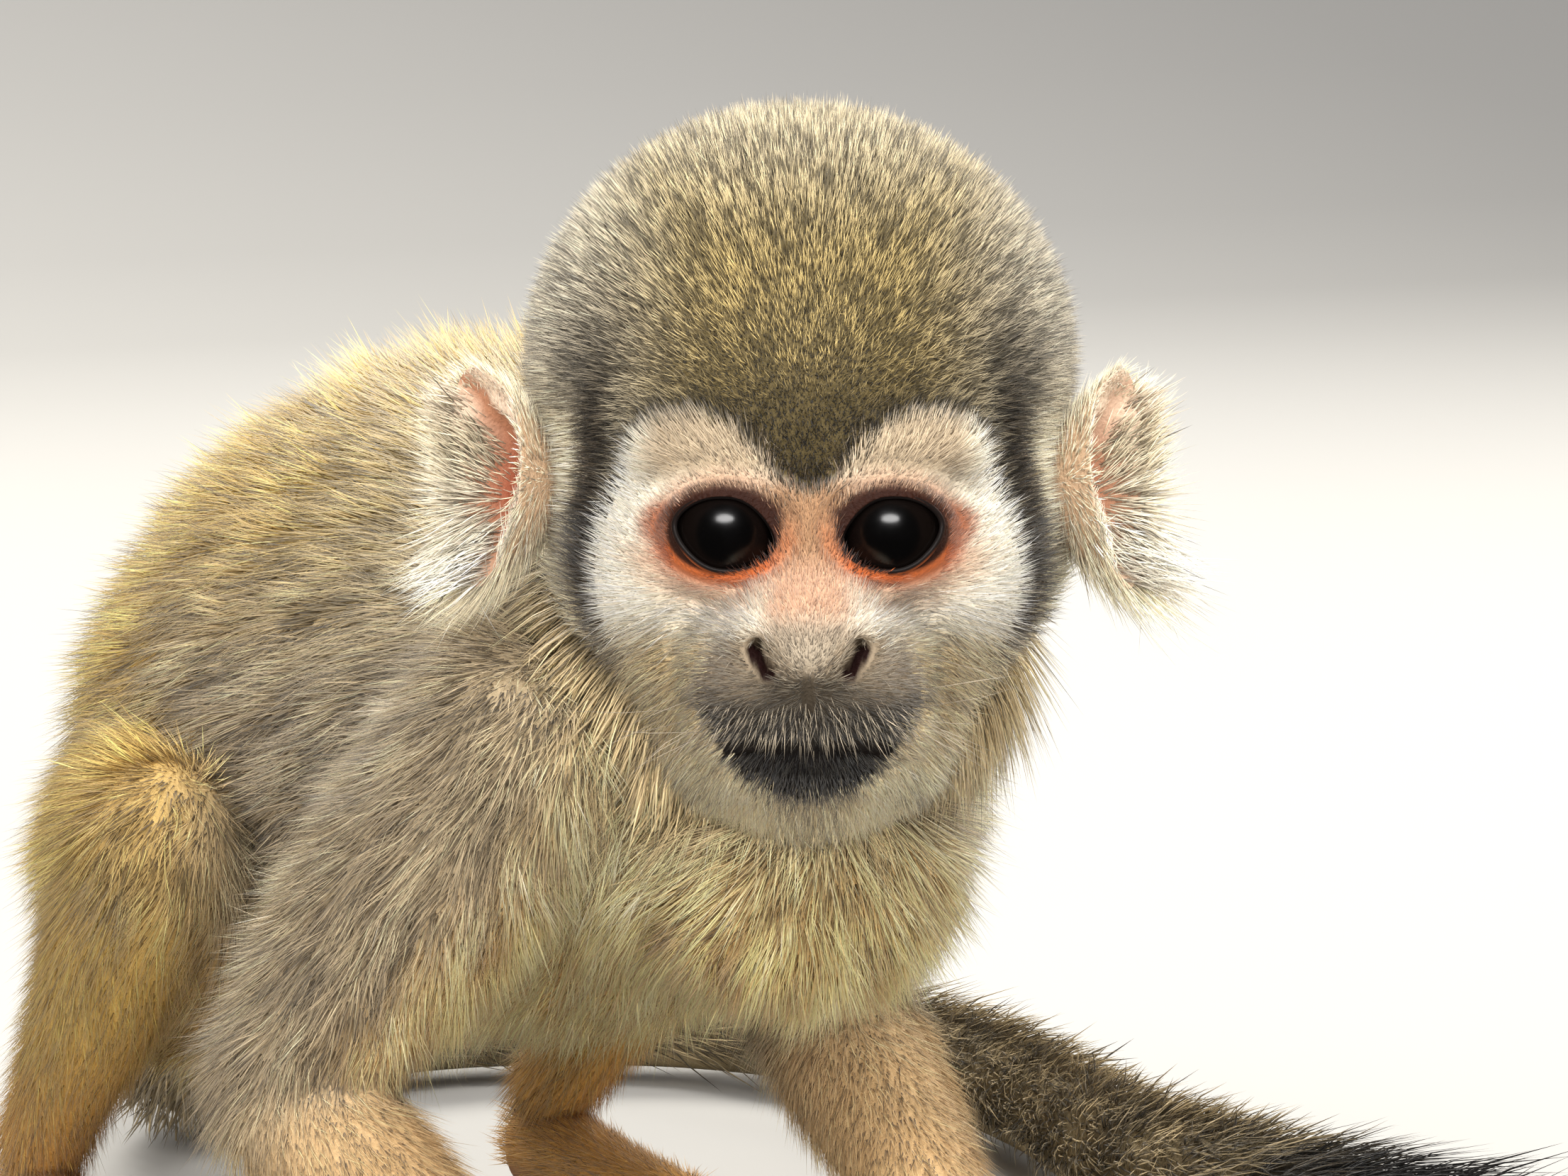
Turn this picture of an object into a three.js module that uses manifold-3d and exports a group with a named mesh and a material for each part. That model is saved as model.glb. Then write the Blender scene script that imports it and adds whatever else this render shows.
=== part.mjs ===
// A common squirrel monkey at life size, crouched on all fours and looking round to its right.
// Millimetres, +Z up. The body lies along Y with its chest towards -Y, its left side is +X, and its hands,
// feet and tail rest on the floor at Z = 0. Every outline includes the coat, out to the tips of the fur.
// Head sizes are in the head's own frame: the origin is midway between the eyes, -Y is forward, +X its left.
import * as THREE from "three";
import { mergeVertices } from "three/addons/utils/BufferGeometryUtils.js";
import Module from "manifold-3d";

const wasm = await Module();
wasm.setup();

// ---------------------------------------------------------------- driving dimensions

const GAP = 0.3; // between pieces that touch
const LOCK_THICKNESS = 2;
const EYE_HEIGHT = 110; // midpoint of the eyes above the floor
const EYE_PLACE = new THREE.Vector3(-17.5, -30.3, EYE_HEIGHT);
const HEAD_YAW = THREE.MathUtils.degToRad(-30); // the head turns to its right
const HEAD_PITCH = THREE.MathUtils.degToRad(13); // and nods forward
const HEAD_DETAIL = 12; // subdivisions of the head's icosahedron
const FACE_FINENESS = 0.45; // how far the head's vertices crowd towards the face

const EYE_RADIUS = 6.3;
const EYE_SPACING = 18.5; // between the centres of the eyes
const LID_THICKNESS = 1.1;
const FISSURE = { halfWidth: 5.4, halfHeight: 4.4, tilt: 0.06, raise: 0.32 };

const skin = (color, roughness = 0.85) =>
  new THREE.MeshStandardMaterial({ color, roughness, metalness: 0 });
const MATERIALS = {
  headCoat: skin(0x8a7f5e),
  paleCoat: skin(0xd9cdb0),
  greyCoat: skin(0x7f776a),
  goldCoat: skin(0xa98442),
  handSkin: skin(0xb98a3c),
  earSkin: skin(0xe3b9a2, 0.6),
  eye: skin(0x120d0b, 0.08),
  tailTip: skin(0x2a2622),
};

const vec = (x, y, z) => new THREE.Vector3(x, y, z);
const headFrame = new THREE.Matrix4()
  .makeRotationFromEuler(new THREE.Euler(HEAD_PITCH, 0, HEAD_YAW, "ZYX"))
  .setPosition(EYE_PLACE);

// ---------------------------------------------------------------- solids

// A closed geometry as a manifold-3d solid, facing out whichever way its faces were wound.
function solid(geometry) {
  const bare = geometry.clone();
  bare.deleteAttribute("normal");
  bare.deleteAttribute("uv");
  const merged = mergeVertices(bare, 1e-4);
  const vertProperties = new Float32Array(merged.attributes.position.array);
  const triVerts = new Uint32Array(merged.index.array);
  const make = () =>
    new wasm.Manifold(new wasm.Mesh({ numProp: 3, vertProperties, triVerts }));
  const made = make();
  if (made.volume() > 0) return made;
  for (let i = 0; i < triVerts.length; i += 3)
    [triVerts[i], triVerts[i + 1]] = [triVerts[i + 1], triVerts[i]];
  return make();
}

const join = (pieces) => pieces.reduce((a, b) => a.add(b));

// The largest closed surface of a solid, without loose scraps or sealed hollows.
function largest(made) {
  return made
    .decompose()
    .reduce((a, b) => (b.volume() > a.volume() ? b : a));
}

// A sphere's grid with each vertex moved to place(u, v): u runs round it, v from one pole to the other.
function grid(around, rows, place) {
  const geometry = new THREE.SphereGeometry(1, around, rows);
  const { position, uv } = geometry.attributes;
  for (let i = 0; i < position.count; i++) {
    const v = 1 - uv.getY(i);
    const pole = v < 1e-6 || v > 1 - 1e-6;
    const p = place(pole ? 0 : uv.getX(i) % 1, v);
    position.setXYZ(i, p.x, p.y, p.z);
  }
  return geometry;
}

const route = (points) => new THREE.CatmullRomCurve3(points, false, "catmullrom");

// The frame of a tube along stations [x, y, z, half width, half height]: at share t of the way it gives
// the middle, the half sizes, and the directions along, across (near `side`) and up.
function spine(stations, side) {
  const middles = route(stations.map(([x, y, z]) => vec(x, y, z)));
  const sizes = route(stations.map(([, , , w, h]) => vec(w, h, 0)));
  return (t) => {
    const along = middles.getTangent(t).normalize();
    const across = side
      .clone()
      .addScaledVector(along, -side.dot(along))
      .normalize();
    return {
      middle: middles.getPoint(t),
      size: sizes.getPoint(t),
      along,
      across,
      up: along.clone().cross(across),
    };
  };
}

// A closed tube. A round end bulges past its last station, and a flat one is cut square there.
function tube(stations, options = {}) {
  const {
    around = 14,
    rows = 10,
    side = vec(1, 0, 0),
    grow = 0,
    ends = ["round", "round"],
    from = 0,
    to = 1,
    bulge = 0.8,
    rings = 3, // on a round end
  } = options;
  const at = spine(stations, side);
  const caps = ends.map((end) => (end === "round" ? rings : 1));
  const total = caps[0] + rows + caps[1];
  return grid(around, total, (u, v) => {
    const ring = Math.round(v * total);
    let t = from + ((ring - caps[0]) / rows) * (to - from);
    let shrink = 1;
    let push = 0;
    const cap = ring < caps[0] ? 0 : ring > caps[0] + rows ? 1 : null;
    if (cap !== null) {
      const step = cap ? total - ring : ring;
      const angle = (step / caps[cap]) * (Math.PI / 2);
      const round = ends[cap] === "round";
      shrink = round ? Math.sin(angle) : 0;
      push = round ? Math.cos(angle) * (cap ? 1 : -1) : 0;
      t = cap ? to : from;
    }
    const { middle, size, along, across, up } = at(t);
    const angle = u * Math.PI * 2;
    return middle
      .addScaledVector(along, push * bulge * (Math.min(size.x, size.y) + grow))
      .addScaledVector(across, Math.cos(angle) * (size.x + grow) * shrink)
      .addScaledVector(up, Math.sin(angle) * (size.y + grow) * shrink);
  });
}

// ---------------------------------------------------------------- locks of long hair

// A repeatable draw of numbers from -1 to 1.
function seeded(seed) {
  let state = seed;
  return () => {
    state = (state * 1103515245 + 12345) % 2147483648;
    return (state / 2147483648) * 2 - 1;
  };
}

// A flat, tapered lock. It rises out of the coat at `root` along `lie`, then sags towards `sag`.
function lock({ root, out, lie, sag, length, width, thickness, lift }, grow) {
  const heading = lie.clone().addScaledVector(out, lift).normalize();
  const across = out.clone().cross(heading).normalize();
  const SHAPE = [
    // [share of the length, share of the width, of the thickness, sag]
    [-0.2, 0.85, 1, 0],
    [0.5, 1, 0.9, 0.2],
    [1, 0.14, 0.4, 1],
  ];
  const stations = SHAPE.map(([share, wide, thick, drop]) => {
    const p = root
      .clone()
      .addScaledVector(heading, share * length)
      .addScaledVector(sag, drop * length * 0.35);
    return [p.x, p.y, p.z, (wide * width) / 2, (thick * thickness) / 2];
  });
  return tube(stations, {
    around: 4,
    rows: 2,
    rings: 1,
    ends: ["flat", "flat"],
    side: across,
    grow,
  });
}

// Locks rooted on the skin of a tube. Each row gives the share t along it, the angles round it and the rest.
function locksOn(at, rows, seed, grow) {
  const random = seeded(seed);
  const made = [];
  for (const { t, angles, lie, sag, length, width, lift = 0.3, sink = 2.2 } of rows) {
    for (const degrees of angles) {
      const share = t + random() * 0.02;
      const angle = THREE.MathUtils.degToRad(degrees + random() * 4);
      const { middle, size, across, up } = at(share);
      const out = vec(0, 0, 0)
        .addScaledVector(across, Math.cos(angle) / size.x)
        .addScaledVector(up, Math.sin(angle) / size.y)
        .normalize();
      const root = middle
        .addScaledVector(across, Math.cos(angle) * (size.x - sink))
        .addScaledVector(up, Math.sin(angle) * (size.y - sink));
      made.push(
        lock(
          {
            root,
            out,
            lie: lie(out, angle).applyAxisAngle(out, random() * 0.2),
            sag,
            length: length * (1 + random() * 0.18),
            width: width * (1 + random() * 0.15),
            thickness: LOCK_THICKNESS,
            lift: lift + random() * 0.08,
          },
          grow,
        ),
      );
    }
  }
  return made;
}

// ---------------------------------------------------------------- head

// Smooth union of distances: the closer two are, the more the surface swells between them.
function blend(a, b, softness) {
  const h = Math.max(softness - Math.abs(a - b), 0) / softness;
  return Math.min(a, b) - (h * h * softness) / 4;
}

const ellipsoid = (centre, radii, softness = 4) => ({
  centre: vec(...centre),
  radii: vec(...radii),
  softness,
});
const pair = ([x, y, z], radii, softness) => [
  ellipsoid([x, y, z], radii, softness),
  ellipsoid([-x, y, z], radii, softness),
];

const HEAD_FORMS = [
  ellipsoid([-0.8, 33, 9.5], [31.8, 36, 29]), // crown
  ellipsoid([0, 13, -3], [22, 18, 17], 6), // face
  ...pair([15, 22, -8], [15, 22, 17], 6), // cheeks
  ...pair([9.5, 4.2, 9.5], [10.5, 6.5, 4.6], 5), // brows
  ellipsoid([0, 16, -18], [19.5, 22, 12], 6), // jaw
  ellipsoid([0, -3, -15.5], [13.3, 12.5, 9.5], 5), // muzzle
  ...pair([6.8, -6.2, -15.5], [6.6, 8.6, 6.6], 4), // whisker pads
  ellipsoid([0, -2.5, -4], [4.6, 6, 10], 4), // bridge of the nose
  ellipsoid([0, -7, -8.4], [7.6, 8, 6], 7), // its lower slope
  ellipsoid([0, -12.2, -9.8], [6.2, 4.4, 3.8], 6), // nose
  ...pair([5.8, -11.2, -10.6], [2.5, 3.4, 3.4], 3), // wings of the nose
  ellipsoid([0, -6.2, -17.8], [10.6, 9.2, 3], 2), // upper lip
  ellipsoid([0, -5.6, -22.6], [8.6, 8, 2.4], 2), // lower lip
  ellipsoid([0, -1, -24.4], [11, 12.2, 7], 3), // chin
];

const EYES = [1, -1].map((side) => vec((side * EYE_SPACING) / 2, 0, 0));

const distanceTo = ({ centre, radii }, p) => {
  const q = p.clone().sub(centre);
  const k0 = q.clone().divide(radii).length();
  const k1 = q.clone().divide(radii).divide(radii).length();
  return k1 < 1e-9 ? -Math.min(radii.x, radii.y, radii.z) : (k0 * (k0 - 1)) / k1;
};

// Distance from a point of the head's frame to the head's outline, negative inside.
function headDistance(p) {
  let d = 1e9;
  for (const form of HEAD_FORMS) d = blend(d, distanceTo(form, p), form.softness);
  // The lids are raised over the ball of each eye.
  for (const eye of EYES)
    d = blend(d, p.distanceTo(eye) - EYE_RADIUS - LID_THICKNESS, 2.6);
  return d;
}

const HEAD_HEART = vec(0, 13, -8);

// The point where a line from `start` along `direction` meets the head's outline, seen from outside.
function meet(start, direction, reach) {
  const at = (s) => start.clone().addScaledVector(direction, s);
  let outside = reach;
  while (headDistance(at(outside)) > 0 && outside > 0) outside -= 0.6;
  let inside = outside;
  outside += 0.6;
  for (let i = 0; i < 18; i++) {
    const middle = (inside + outside) / 2;
    if (headDistance(at(middle)) > 0) outside = middle;
    else inside = middle;
  }
  return at(inside);
}

// The foremost point of the face at a given x and z.
const faceAt = (x, z) => meet(vec(x, 15, z), vec(0, -1, 0), 45);

function headSkin(detail, fineness) {
  const geometry = new THREE.IcosahedronGeometry(1, detail);
  const { position } = geometry.attributes;
  const forward = vec(0, -1, -0.12).normalize();
  for (let i = 0; i < position.count; i++) {
    const direction = vec(position.getX(i), position.getY(i), position.getZ(i))
      .normalize()
      .addScaledVector(forward, fineness)
      .normalize();
    const p = meet(HEAD_HEART, direction, 75);
    position.setXYZ(i, p.x, p.y, p.z);
  }
  return geometry;
}

// The opening between the lids, as an almond-shaped prism along the line of sight.
function fissure(eye) {
  const side = Math.sign(eye.x);
  const { halfWidth: w, halfHeight: h, tilt, raise } = FISSURE;
  const almond = new THREE.Shape();
  almond.moveTo(-w, 0);
  almond.bezierCurveTo(-w * 0.7, h * 1.3, w * 0.6, h * 1.35, w, 0);
  almond.bezierCurveTo(w * 0.6, -h * 1.3, -w * 0.7, -h * 1.3, -w, 0);
  const geometry = new THREE.ExtrudeGeometry(almond, {
    depth: 14,
    bevelEnabled: false,
    curveSegments: 8,
  });
  return geometry
    .rotateX(Math.PI / 2) // the prism now runs along -Y
    .rotateY(-side * tilt)
    .rotateX(-raise) // and points a little upward
    .translate(eye.x, 0, 0);
}

const MOUTH = { halfWidth: 10.8, z: -20.4, lift: 2.6, radius: 0.55 };

function mouthLine() {
  const stations = [];
  for (let i = -5; i <= 5; i++) {
    const share = i / 5;
    const p = faceAt(
      share * MOUTH.halfWidth,
      MOUTH.z + MOUTH.lift * share * share,
    );
    stations.push([p.x, p.y, p.z, MOUTH.radius * 1.6, MOUTH.radius]);
  }
  return tube(stations, { around: 6, rows: 20, side: vec(0, 1, 0) });
}

const NOSTRIL = { x: 5.2, z: -9.3, radii: [0.95, 2.2, 2.1], lean: 0.5 };

function nostril(side) {
  const p = faceAt(side * NOSTRIL.x, NOSTRIL.z);
  return new THREE.SphereGeometry(1, 10, 8)
    .scale(...NOSTRIL.radii)
    .rotateY(side * NOSTRIL.lean)
    .rotateZ(side * 0.35)
    .translate(p.x, p.y - 0.2, p.z);
}

const inHead = (geometry) => solid(geometry.applyMatrix4(headFrame));
const eyeBall = (eye, grow) =>
  inHead(
    new THREE.SphereGeometry(EYE_RADIUS + grow, 12, 8).translate(...eye),
  );

function head(grow) {
  if (grow) {
    // An evenly divided form, each vertex moved out from the heart, so what it cuts stays clear and plain.
    const form = headSkin(8, 0);
    const { position } = form.attributes;
    for (let i = 0; i < position.count; i++) {
      const out = vec(position.getX(i), position.getY(i), position.getZ(i)).sub(
        HEAD_HEART,
      );
      const p = out.setLength(out.length() + grow + 0.4).add(HEAD_HEART);
      position.setXYZ(i, p.x, p.y, p.z);
    }
    return inHead(form);
  }
  const form = headSkin(HEAD_DETAIL, FACE_FINENESS);
  const cuts = [
    ...EYES.map((eye) => inHead(fissure(eye))),
    inHead(mouthLine()),
    inHead(nostril(1)),
    inHead(nostril(-1)),
  ];
  return cuts.reduce((made, cut) => made.subtract(cut), inHead(form));
}

// ---------------------------------------------------------------- ears

const EAR = {
  halfWidth: 10,
  halfHeight: 13,
  cup: 5,
  thickness: 1.5,
  rim: 0.9,
  root: 9,
};

// The ear's own frame has +Z up its length, +X out to its rear rim and -Y out of its cup.
// Its outline has a tip that points up and out, and is drawn in below the tip.
function earReach(angle) {
  const swell = (at, width) => Math.exp(-(((angle - at) / width) ** 2));
  return 0.95 + 0.4 * swell(0.75, 0.5) - 0.3 * swell(-0.4, 0.75);
}

function earShell(grow) {
  const { halfWidth, halfHeight, cup, thickness, rim, root } = EAR;
  return grid(18, 10, (u, v) => {
    const angle = (u < 0.75 ? u : u - 1) * Math.PI * 2;
    const polar = v * Math.PI;
    const spread = Math.sin(polar) ** 0.8;
    const reach = spread * earReach(angle);
    const thick = thickness / 2 + rim * spread ** 6 + grow;
    // The back of the cup narrows into the root, which the head takes up.
    const back = polar > Math.PI / 2 ? root * (1 - spread) ** 1.4 : 0;
    return vec(
      Math.cos(angle) * (reach * halfWidth + grow * spread),
      back - cup * spread ** 2.4 - Math.cos(polar) * thick,
      Math.sin(angle) * (reach * halfHeight + grow * spread),
    );
  });
}

const EAR_PLACE = { x: 32.7, y: 22, z: -1.8, out: 1.02, lean: -0.25, roll: 0.2 };

function earFrame(side) {
  const { x, y, z, out, lean, roll } = EAR_PLACE;
  return new THREE.Matrix4()
    .makeRotationFromEuler(
      new THREE.Euler(lean, side * roll, side * out, "ZYX"),
    )
    .setPosition(side * x, y, z);
}

// Long hairs stand out behind the rim, all the way round its free edge.
const EAR_LOCKS = [-72, -34, 4, 42, 80];

function earLocks(grow) {
  const { halfWidth, halfHeight, cup } = EAR;
  const random = seeded(3);
  return EAR_LOCKS.map((degrees) => {
    const angle = THREE.MathUtils.degToRad(degrees);
    const away = vec(Math.cos(angle), 0, Math.sin(angle));
    const reach = 0.72 * earReach(angle);
    const root = vec(
      away.x * reach * halfWidth,
      -cup * 0.35 + 2.2,
      away.z * reach * halfHeight,
    );
    return lock(
      {
        root,
        out: vec(0, 1, 0),
        lie: away.clone().add(vec(0.3, 0.1, 0)),
        sag: vec(0.3, 0.4, -0.3),
        length: 12 + random() * 1.5,
        width: 8.5,
        thickness: 1.6,
        lift: 0.1 + random() * 0.05,
      },
      grow,
    );
  });
}

function ear(side, grow) {
  const pieces = [earShell(grow), ...earLocks(grow)].map((shape) => {
    if (side < 0) shape.scale(-1, 1, 1);
    return inHead(shape.applyMatrix4(earFrame(side)));
  });
  return join(pieces);
}

// ---------------------------------------------------------------- trunk

// Stations down the trunk from the breast to the rump: [x, y, z, half width, half height].
const TRUNK = [
  [0, 0, 66, 22, 20],
  [0, 14, 74, 31, 32],
  [0, 36, 80, 36, 42],
  [0, 66, 80, 38, 45],
  [0, 94, 75, 39, 45],
  [0, 119, 64, 38, 40],
  [0, 138, 51, 32, 31],
];
const WAIST = 0.52; // where the chest ends and the hips begin, along the trunk
const WAIST_GAP = 0.0013;

const DOWN = vec(0, 0, -1);

// Long hair hangs from the breast and belly: 90 degrees is straight down.
const CHEST_LOCKS = [
  { t: 0.05, angles: [28, 62, 96, 130] },
  { t: 0.16, angles: [24, 54, 84, 114, 144] },
  { t: 0.29, angles: [48, 79, 110] },
].map((row) => ({
  ...row,
  length: 16,
  width: 15,
  lift: 0.15,
  sag: DOWN,
  lie: () => vec(0, 0.75, -0.65),
}));

function chest(grow) {
  const side = vec(1, 0, 0);
  const core = tube(TRUNK, {
    around: 20,
    rows: 7,
    to: WAIST - WAIST_GAP,
    ends: ["round", "flat"],
    side,
    grow,
  });
  const locks = locksOn(spine(TRUNK, side), CHEST_LOCKS, 11, grow);
  return join([core, ...locks].map(solid));
}

const hips = (grow) =>
  solid(
    tube(TRUNK, {
      around: 20,
      rows: 8,
      from: WAIST + WAIST_GAP,
      ends: ["flat", "round"],
      grow,
    }),
  );

const NECK = [
  [0, 32, 84, 29, 27],
  [-1, 15, 90, 31, 29],
  [-3, -1, 94, 31, 26],
  [-6, -11, 97, 26, 21],
];

// The ruff: 0 degrees is the monkey's left and -90 its throat.
const RUFF = [
  { t: 0.9, angles: [-166, -136, -106, -76, -46, -16] },
  { t: 0.62, angles: [-180, -150, -120, -90, -60, -30, 0] },
  { t: 0.34, angles: [-172, -46, -14] },
].map((row) => ({
  ...row,
  length: 16,
  width: 15,
  lift: 0.38,
  sag: DOWN,
  lie: (out) => vec(0, 0.5, -0.62).addScaledVector(out, 0.25),
}));

function neck(grow) {
  const side = vec(0.92, -0.38, 0);
  const core = tube(NECK, { around: 18, rows: 4, bulge: 0.6, side, grow });
  const locks = locksOn(spine(NECK, side), RUFF, 5, grow);
  return join([core, ...locks].map(solid));
}

// ---------------------------------------------------------------- limbs

// Joints of the limbs, [x, y, z]. The left arm is drawn in under the chest.
const ARMS = {
  right: { shoulder: [-27, 16, 84], elbow: [-48, 42, 38], wrist: [-40, -12, 12] },
  left: { shoulder: [20, 20, 84], elbow: [30, 50, 42], wrist: [24, -2, 12] },
};
const LEGS = {
  right: { hip: [-18, 124, 50], knee: [-43, 84, 62], ankle: [-38, 132, 15], toes: [-42, 84, 7] },
  left: { hip: [18, 124, 50], knee: [43, 84, 62], ankle: [38, 134, 15], toes: [41, 86, 7] },
};
const sign = { left: 1, right: -1 };

const between = (a, b, t) => a.map((value, i) => value + (b[i] - value) * t);

// A limb's segment between two joints, with [share of the length, half width, half height] rows.
function segment(from, to, rows, options) {
  return solid(
    tube(
      rows.map(([share, w, h]) => [...between(from, to, share), w, h]),
      { around: 12, rows: 6, side: vec(0.2, 1, 0.3), ...options },
    ),
  );
}

function upperArm(side, grow) {
  const { shoulder, elbow } = ARMS[side];
  const rows = [
    [0, 19, 16],
    [0.35, 19, 16],
    [0.7, 16, 14.5],
    [1, 12.5, 12],
  ];
  return segment(shoulder, elbow, rows, { grow });
}

function forearm(side, grow) {
  const { elbow, wrist } = ARMS[side];
  const rows = [
    [0, 10.5, 10.5],
    [0.3, 11.5, 11],
    [0.75, 8.5, 8],
    [1, 6.8, 6.2],
  ];
  return segment(elbow, wrist, rows, { grow, side: vec(1, 0, 0) });
}

function thigh(side, grow) {
  const { hip, knee } = LEGS[side];
  const rows = [
    [0, 27, 23],
    [0.4, 24, 20],
    [0.75, 18, 16],
    [1, 13.5, 13],
  ];
  return segment(hip, knee, rows, { grow, side: vec(0, 0.3, 1), around: 14 });
}

function shank(side, grow) {
  const { knee, ankle } = LEGS[side];
  const rows = [
    [0, 10.5, 10.5],
    [0.3, 12, 11.2],
    [0.8, 9, 8],
    [1, 8, 7.5],
  ];
  return segment(knee, ankle, rows, { grow, side: vec(0, 1, 0.6) });
}

// A hand or foot: a flat palm or sole with tapered digits that arch down to the floor.
const DIGIT = [
  // [share of the length, rise, share of the radius]
  [0, 0, 1],
  [0.35, 0.9, 1],
  [0.75, -0.1, 0.85],
  [1, -1.8, 0.62],
];

function paw(palm, digits, grow) {
  const flat = solid(tube(palm, { around: 9, rows: 3, grow }));
  const rays = digits.map(({ root, angle, length, radius }) => {
    const stations = DIGIT.map(([share, rise, size]) => [
      root[0] - Math.sin(angle) * length * share,
      root[1] - Math.cos(angle) * length * share,
      root[2] + rise,
      radius * size,
      radius * size,
    ]);
    return solid(tube(stations, { around: 5, rows: 3, rings: 2, grow }));
  });
  return join([flat, ...rays]);
}

// Four digits in a fan across the end of the palm, and the thumb or great toe at its inner side.
function fan([x, y], out, { digit, radius, pitch, spread, level, thumb }) {
  const digits = [-1.5, -0.5, 0.5, 1.5].map((i) => ({
    root: [x + i * pitch, y + Math.abs(i), level],
    angle: -i * spread,
    length: digit - Math.abs(i + out * 0.3) * 1.6,
    radius,
  }));
  digits.push({
    root: [x - out * thumb.aside, y + thumb.behind, level + 0.3],
    angle: out * thumb.angle,
    length: thumb.length,
    radius: thumb.radius,
  });
  return digits;
}

const HAND = {
  reach: 17,
  digit: 17,
  radius: 2.5,
  pitch: 4.3,
  spread: 0.17,
  level: 3,
  thumb: { aside: 6, behind: 11, angle: 0.85, length: 12, radius: 2.4 },
};

function hand(side, grow) {
  const [x, y, z] = ARMS[side].wrist;
  const { reach, level } = HAND;
  const palm = [
    [x, y + 4, z, 6.4, 6],
    [x, y - 6, z - 4, 7.6, 5.4],
    [x, y - reach, level + 0.5, 8.4, 3.9],
  ];
  return paw(palm, fan([x, y - reach], sign[side], HAND), grow);
}

const FOOT = {
  digit: 18,
  radius: 2.6,
  pitch: 4.1,
  spread: 0.14,
  level: 3,
  thumb: { aside: 5, behind: 14, angle: 0.75, length: 16, radius: 2.8 },
};

function foot(side, grow) {
  const [hx, hy] = LEGS[side].ankle;
  const [tx, ty] = LEGS[side].toes;
  const sole = [
    [hx, hy + 3, 6, 6.4, 6.4],
    [hx + (tx - hx) * 0.4, hy + (ty - hy) * 0.4, 5.2, 6.8, 5.6],
    [tx, ty, FOOT.level + 0.6, 8, 4],
  ];
  return paw(sole, fan([tx, ty], sign[side], FOOT), grow);
}

// ---------------------------------------------------------------- tail

// The tail leaves the rump, comes down to the floor and curls round the left side: [x, y, radius, height].
// Where no height is given it lies on the floor, pressed a little flat.
const TAIL_PRESS = 0.4;
const TAIL = [
  [0, 138, 14, 46],
  [2, 166, 13.5, 30],
  [12, 191, 12.4, 15],
  [34, 213, 11.6],
  [68, 219, 11.3],
  [98, 202, 11.2],
  [112, 166, 11],
  [108, 124, 11],
  [98, 86, 11.3],
  [95, 50, 11.9],
  [102, 18, 10.5],
  [114, -2, 5.5],
].map(([x, y, r, z = r - TAIL_PRESS]) => [x, y, z, r, r]);
const TAIL_LENGTHS = 7;
const TAIL_GAP = 0.0004;

// The black brush at the tail's end: 0 degrees is on top.
const BRUSH = [
  { t: 0.892, angles: [-65, 0, 65] },
  { t: 0.94, angles: [-100, -33, 33, 100] },
  { t: 0.985, angles: [-60, 0, 60] },
];

function tailLength(index, grow) {
  const side = vec(0, 0, 1);
  const last = index === TAIL_LENGTHS - 1;
  const core = tube(TAIL, {
    around: 12,
    rows: 4,
    from: index / TAIL_LENGTHS + (index ? TAIL_GAP : 0),
    to: (index + 1) / TAIL_LENGTHS - (last ? 0 : TAIL_GAP),
    ends: [index ? "flat" : "round", last ? "round" : "flat"],
    bulge: 1.2,
    side,
    grow,
  });
  if (!last) return solid(core);
  const at = spine(TAIL, side);
  const rows = BRUSH.map((row) => ({
    ...row,
    length: 23,
    width: 11,
    lift: 0.12,
    sag: vec(0.1, -0.1, -0.25),
    lie: () => at(row.t).along.clone(),
  }));
  return join([core, ...locksOn(at, rows, 23, grow)].map(solid));
}

// ---------------------------------------------------------------- the whole animal

const placed = [];

// Adds a node, cut clear of every node before it and of the floor.
function add(name, material, build) {
  let made = build(0).trimByPlane([0, 0, 1], 0);
  for (const earlier of placed) made = made.subtract(earlier.swollen);
  placed.push({ name, material, made: largest(made), swollen: build(GAP) });
}

const SIDES = [
  ["left", 1],
  ["right", -1],
];

EYES.forEach((eye, i) =>
  add(`eye_${SIDES[i][0]}`, MATERIALS.eye, (grow) => eyeBall(eye, grow)),
);
add("head", MATERIALS.headCoat, head);
for (const [name, side] of SIDES)
  add(`ear_${name}`, MATERIALS.earSkin, (grow) => ear(side, grow));
add("hips", MATERIALS.goldCoat, hips);
for (const side of ["right", "left"]) {
  add(`upper_arm_${side}`, MATERIALS.greyCoat, (grow) => upperArm(side, grow));
  add(`thigh_${side}`, MATERIALS.greyCoat, (grow) => thigh(side, grow));
  add(`forearm_${side}`, MATERIALS.goldCoat, (grow) => forearm(side, grow));
  add(`shank_${side}`, MATERIALS.goldCoat, (grow) => shank(side, grow));
  add(`hand_${side}`, MATERIALS.handSkin, (grow) => hand(side, grow));
  add(`foot_${side}`, MATERIALS.handSkin, (grow) => foot(side, grow));
}
add("chest", MATERIALS.greyCoat, chest);
add("neck", MATERIALS.paleCoat, neck);
for (let i = 0; i < TAIL_LENGTHS; i++) {
  const tip = i === TAIL_LENGTHS - 1;
  add(
    `tail_${i + 1}`,
    tip ? MATERIALS.tailTip : MATERIALS.greyCoat,
    (grow) => tailLength(i, grow),
  );
}

const monkey = new THREE.Group();
for (const { name, material, made } of placed) {
  const { numProp, vertProperties, triVerts } = made.getMesh();
  const geometry = new THREE.BufferGeometry()
    .setAttribute(
      "position",
      new THREE.BufferAttribute(vertProperties.slice(), numProp),
    )
    .setIndex(new THREE.BufferAttribute(triVerts.slice(), 1));
  const mesh = new THREE.Mesh(geometry, material);
  mesh.name = name;
  monkey.add(mesh);
}

// The origin is on the floor under the middle of the whole animal's box.
const middle = new THREE.Box3().setFromObject(monkey).getCenter(vec(0, 0, 0));
monkey.position.set(-middle.x, -middle.y, 0);

export default monkey;
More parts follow.
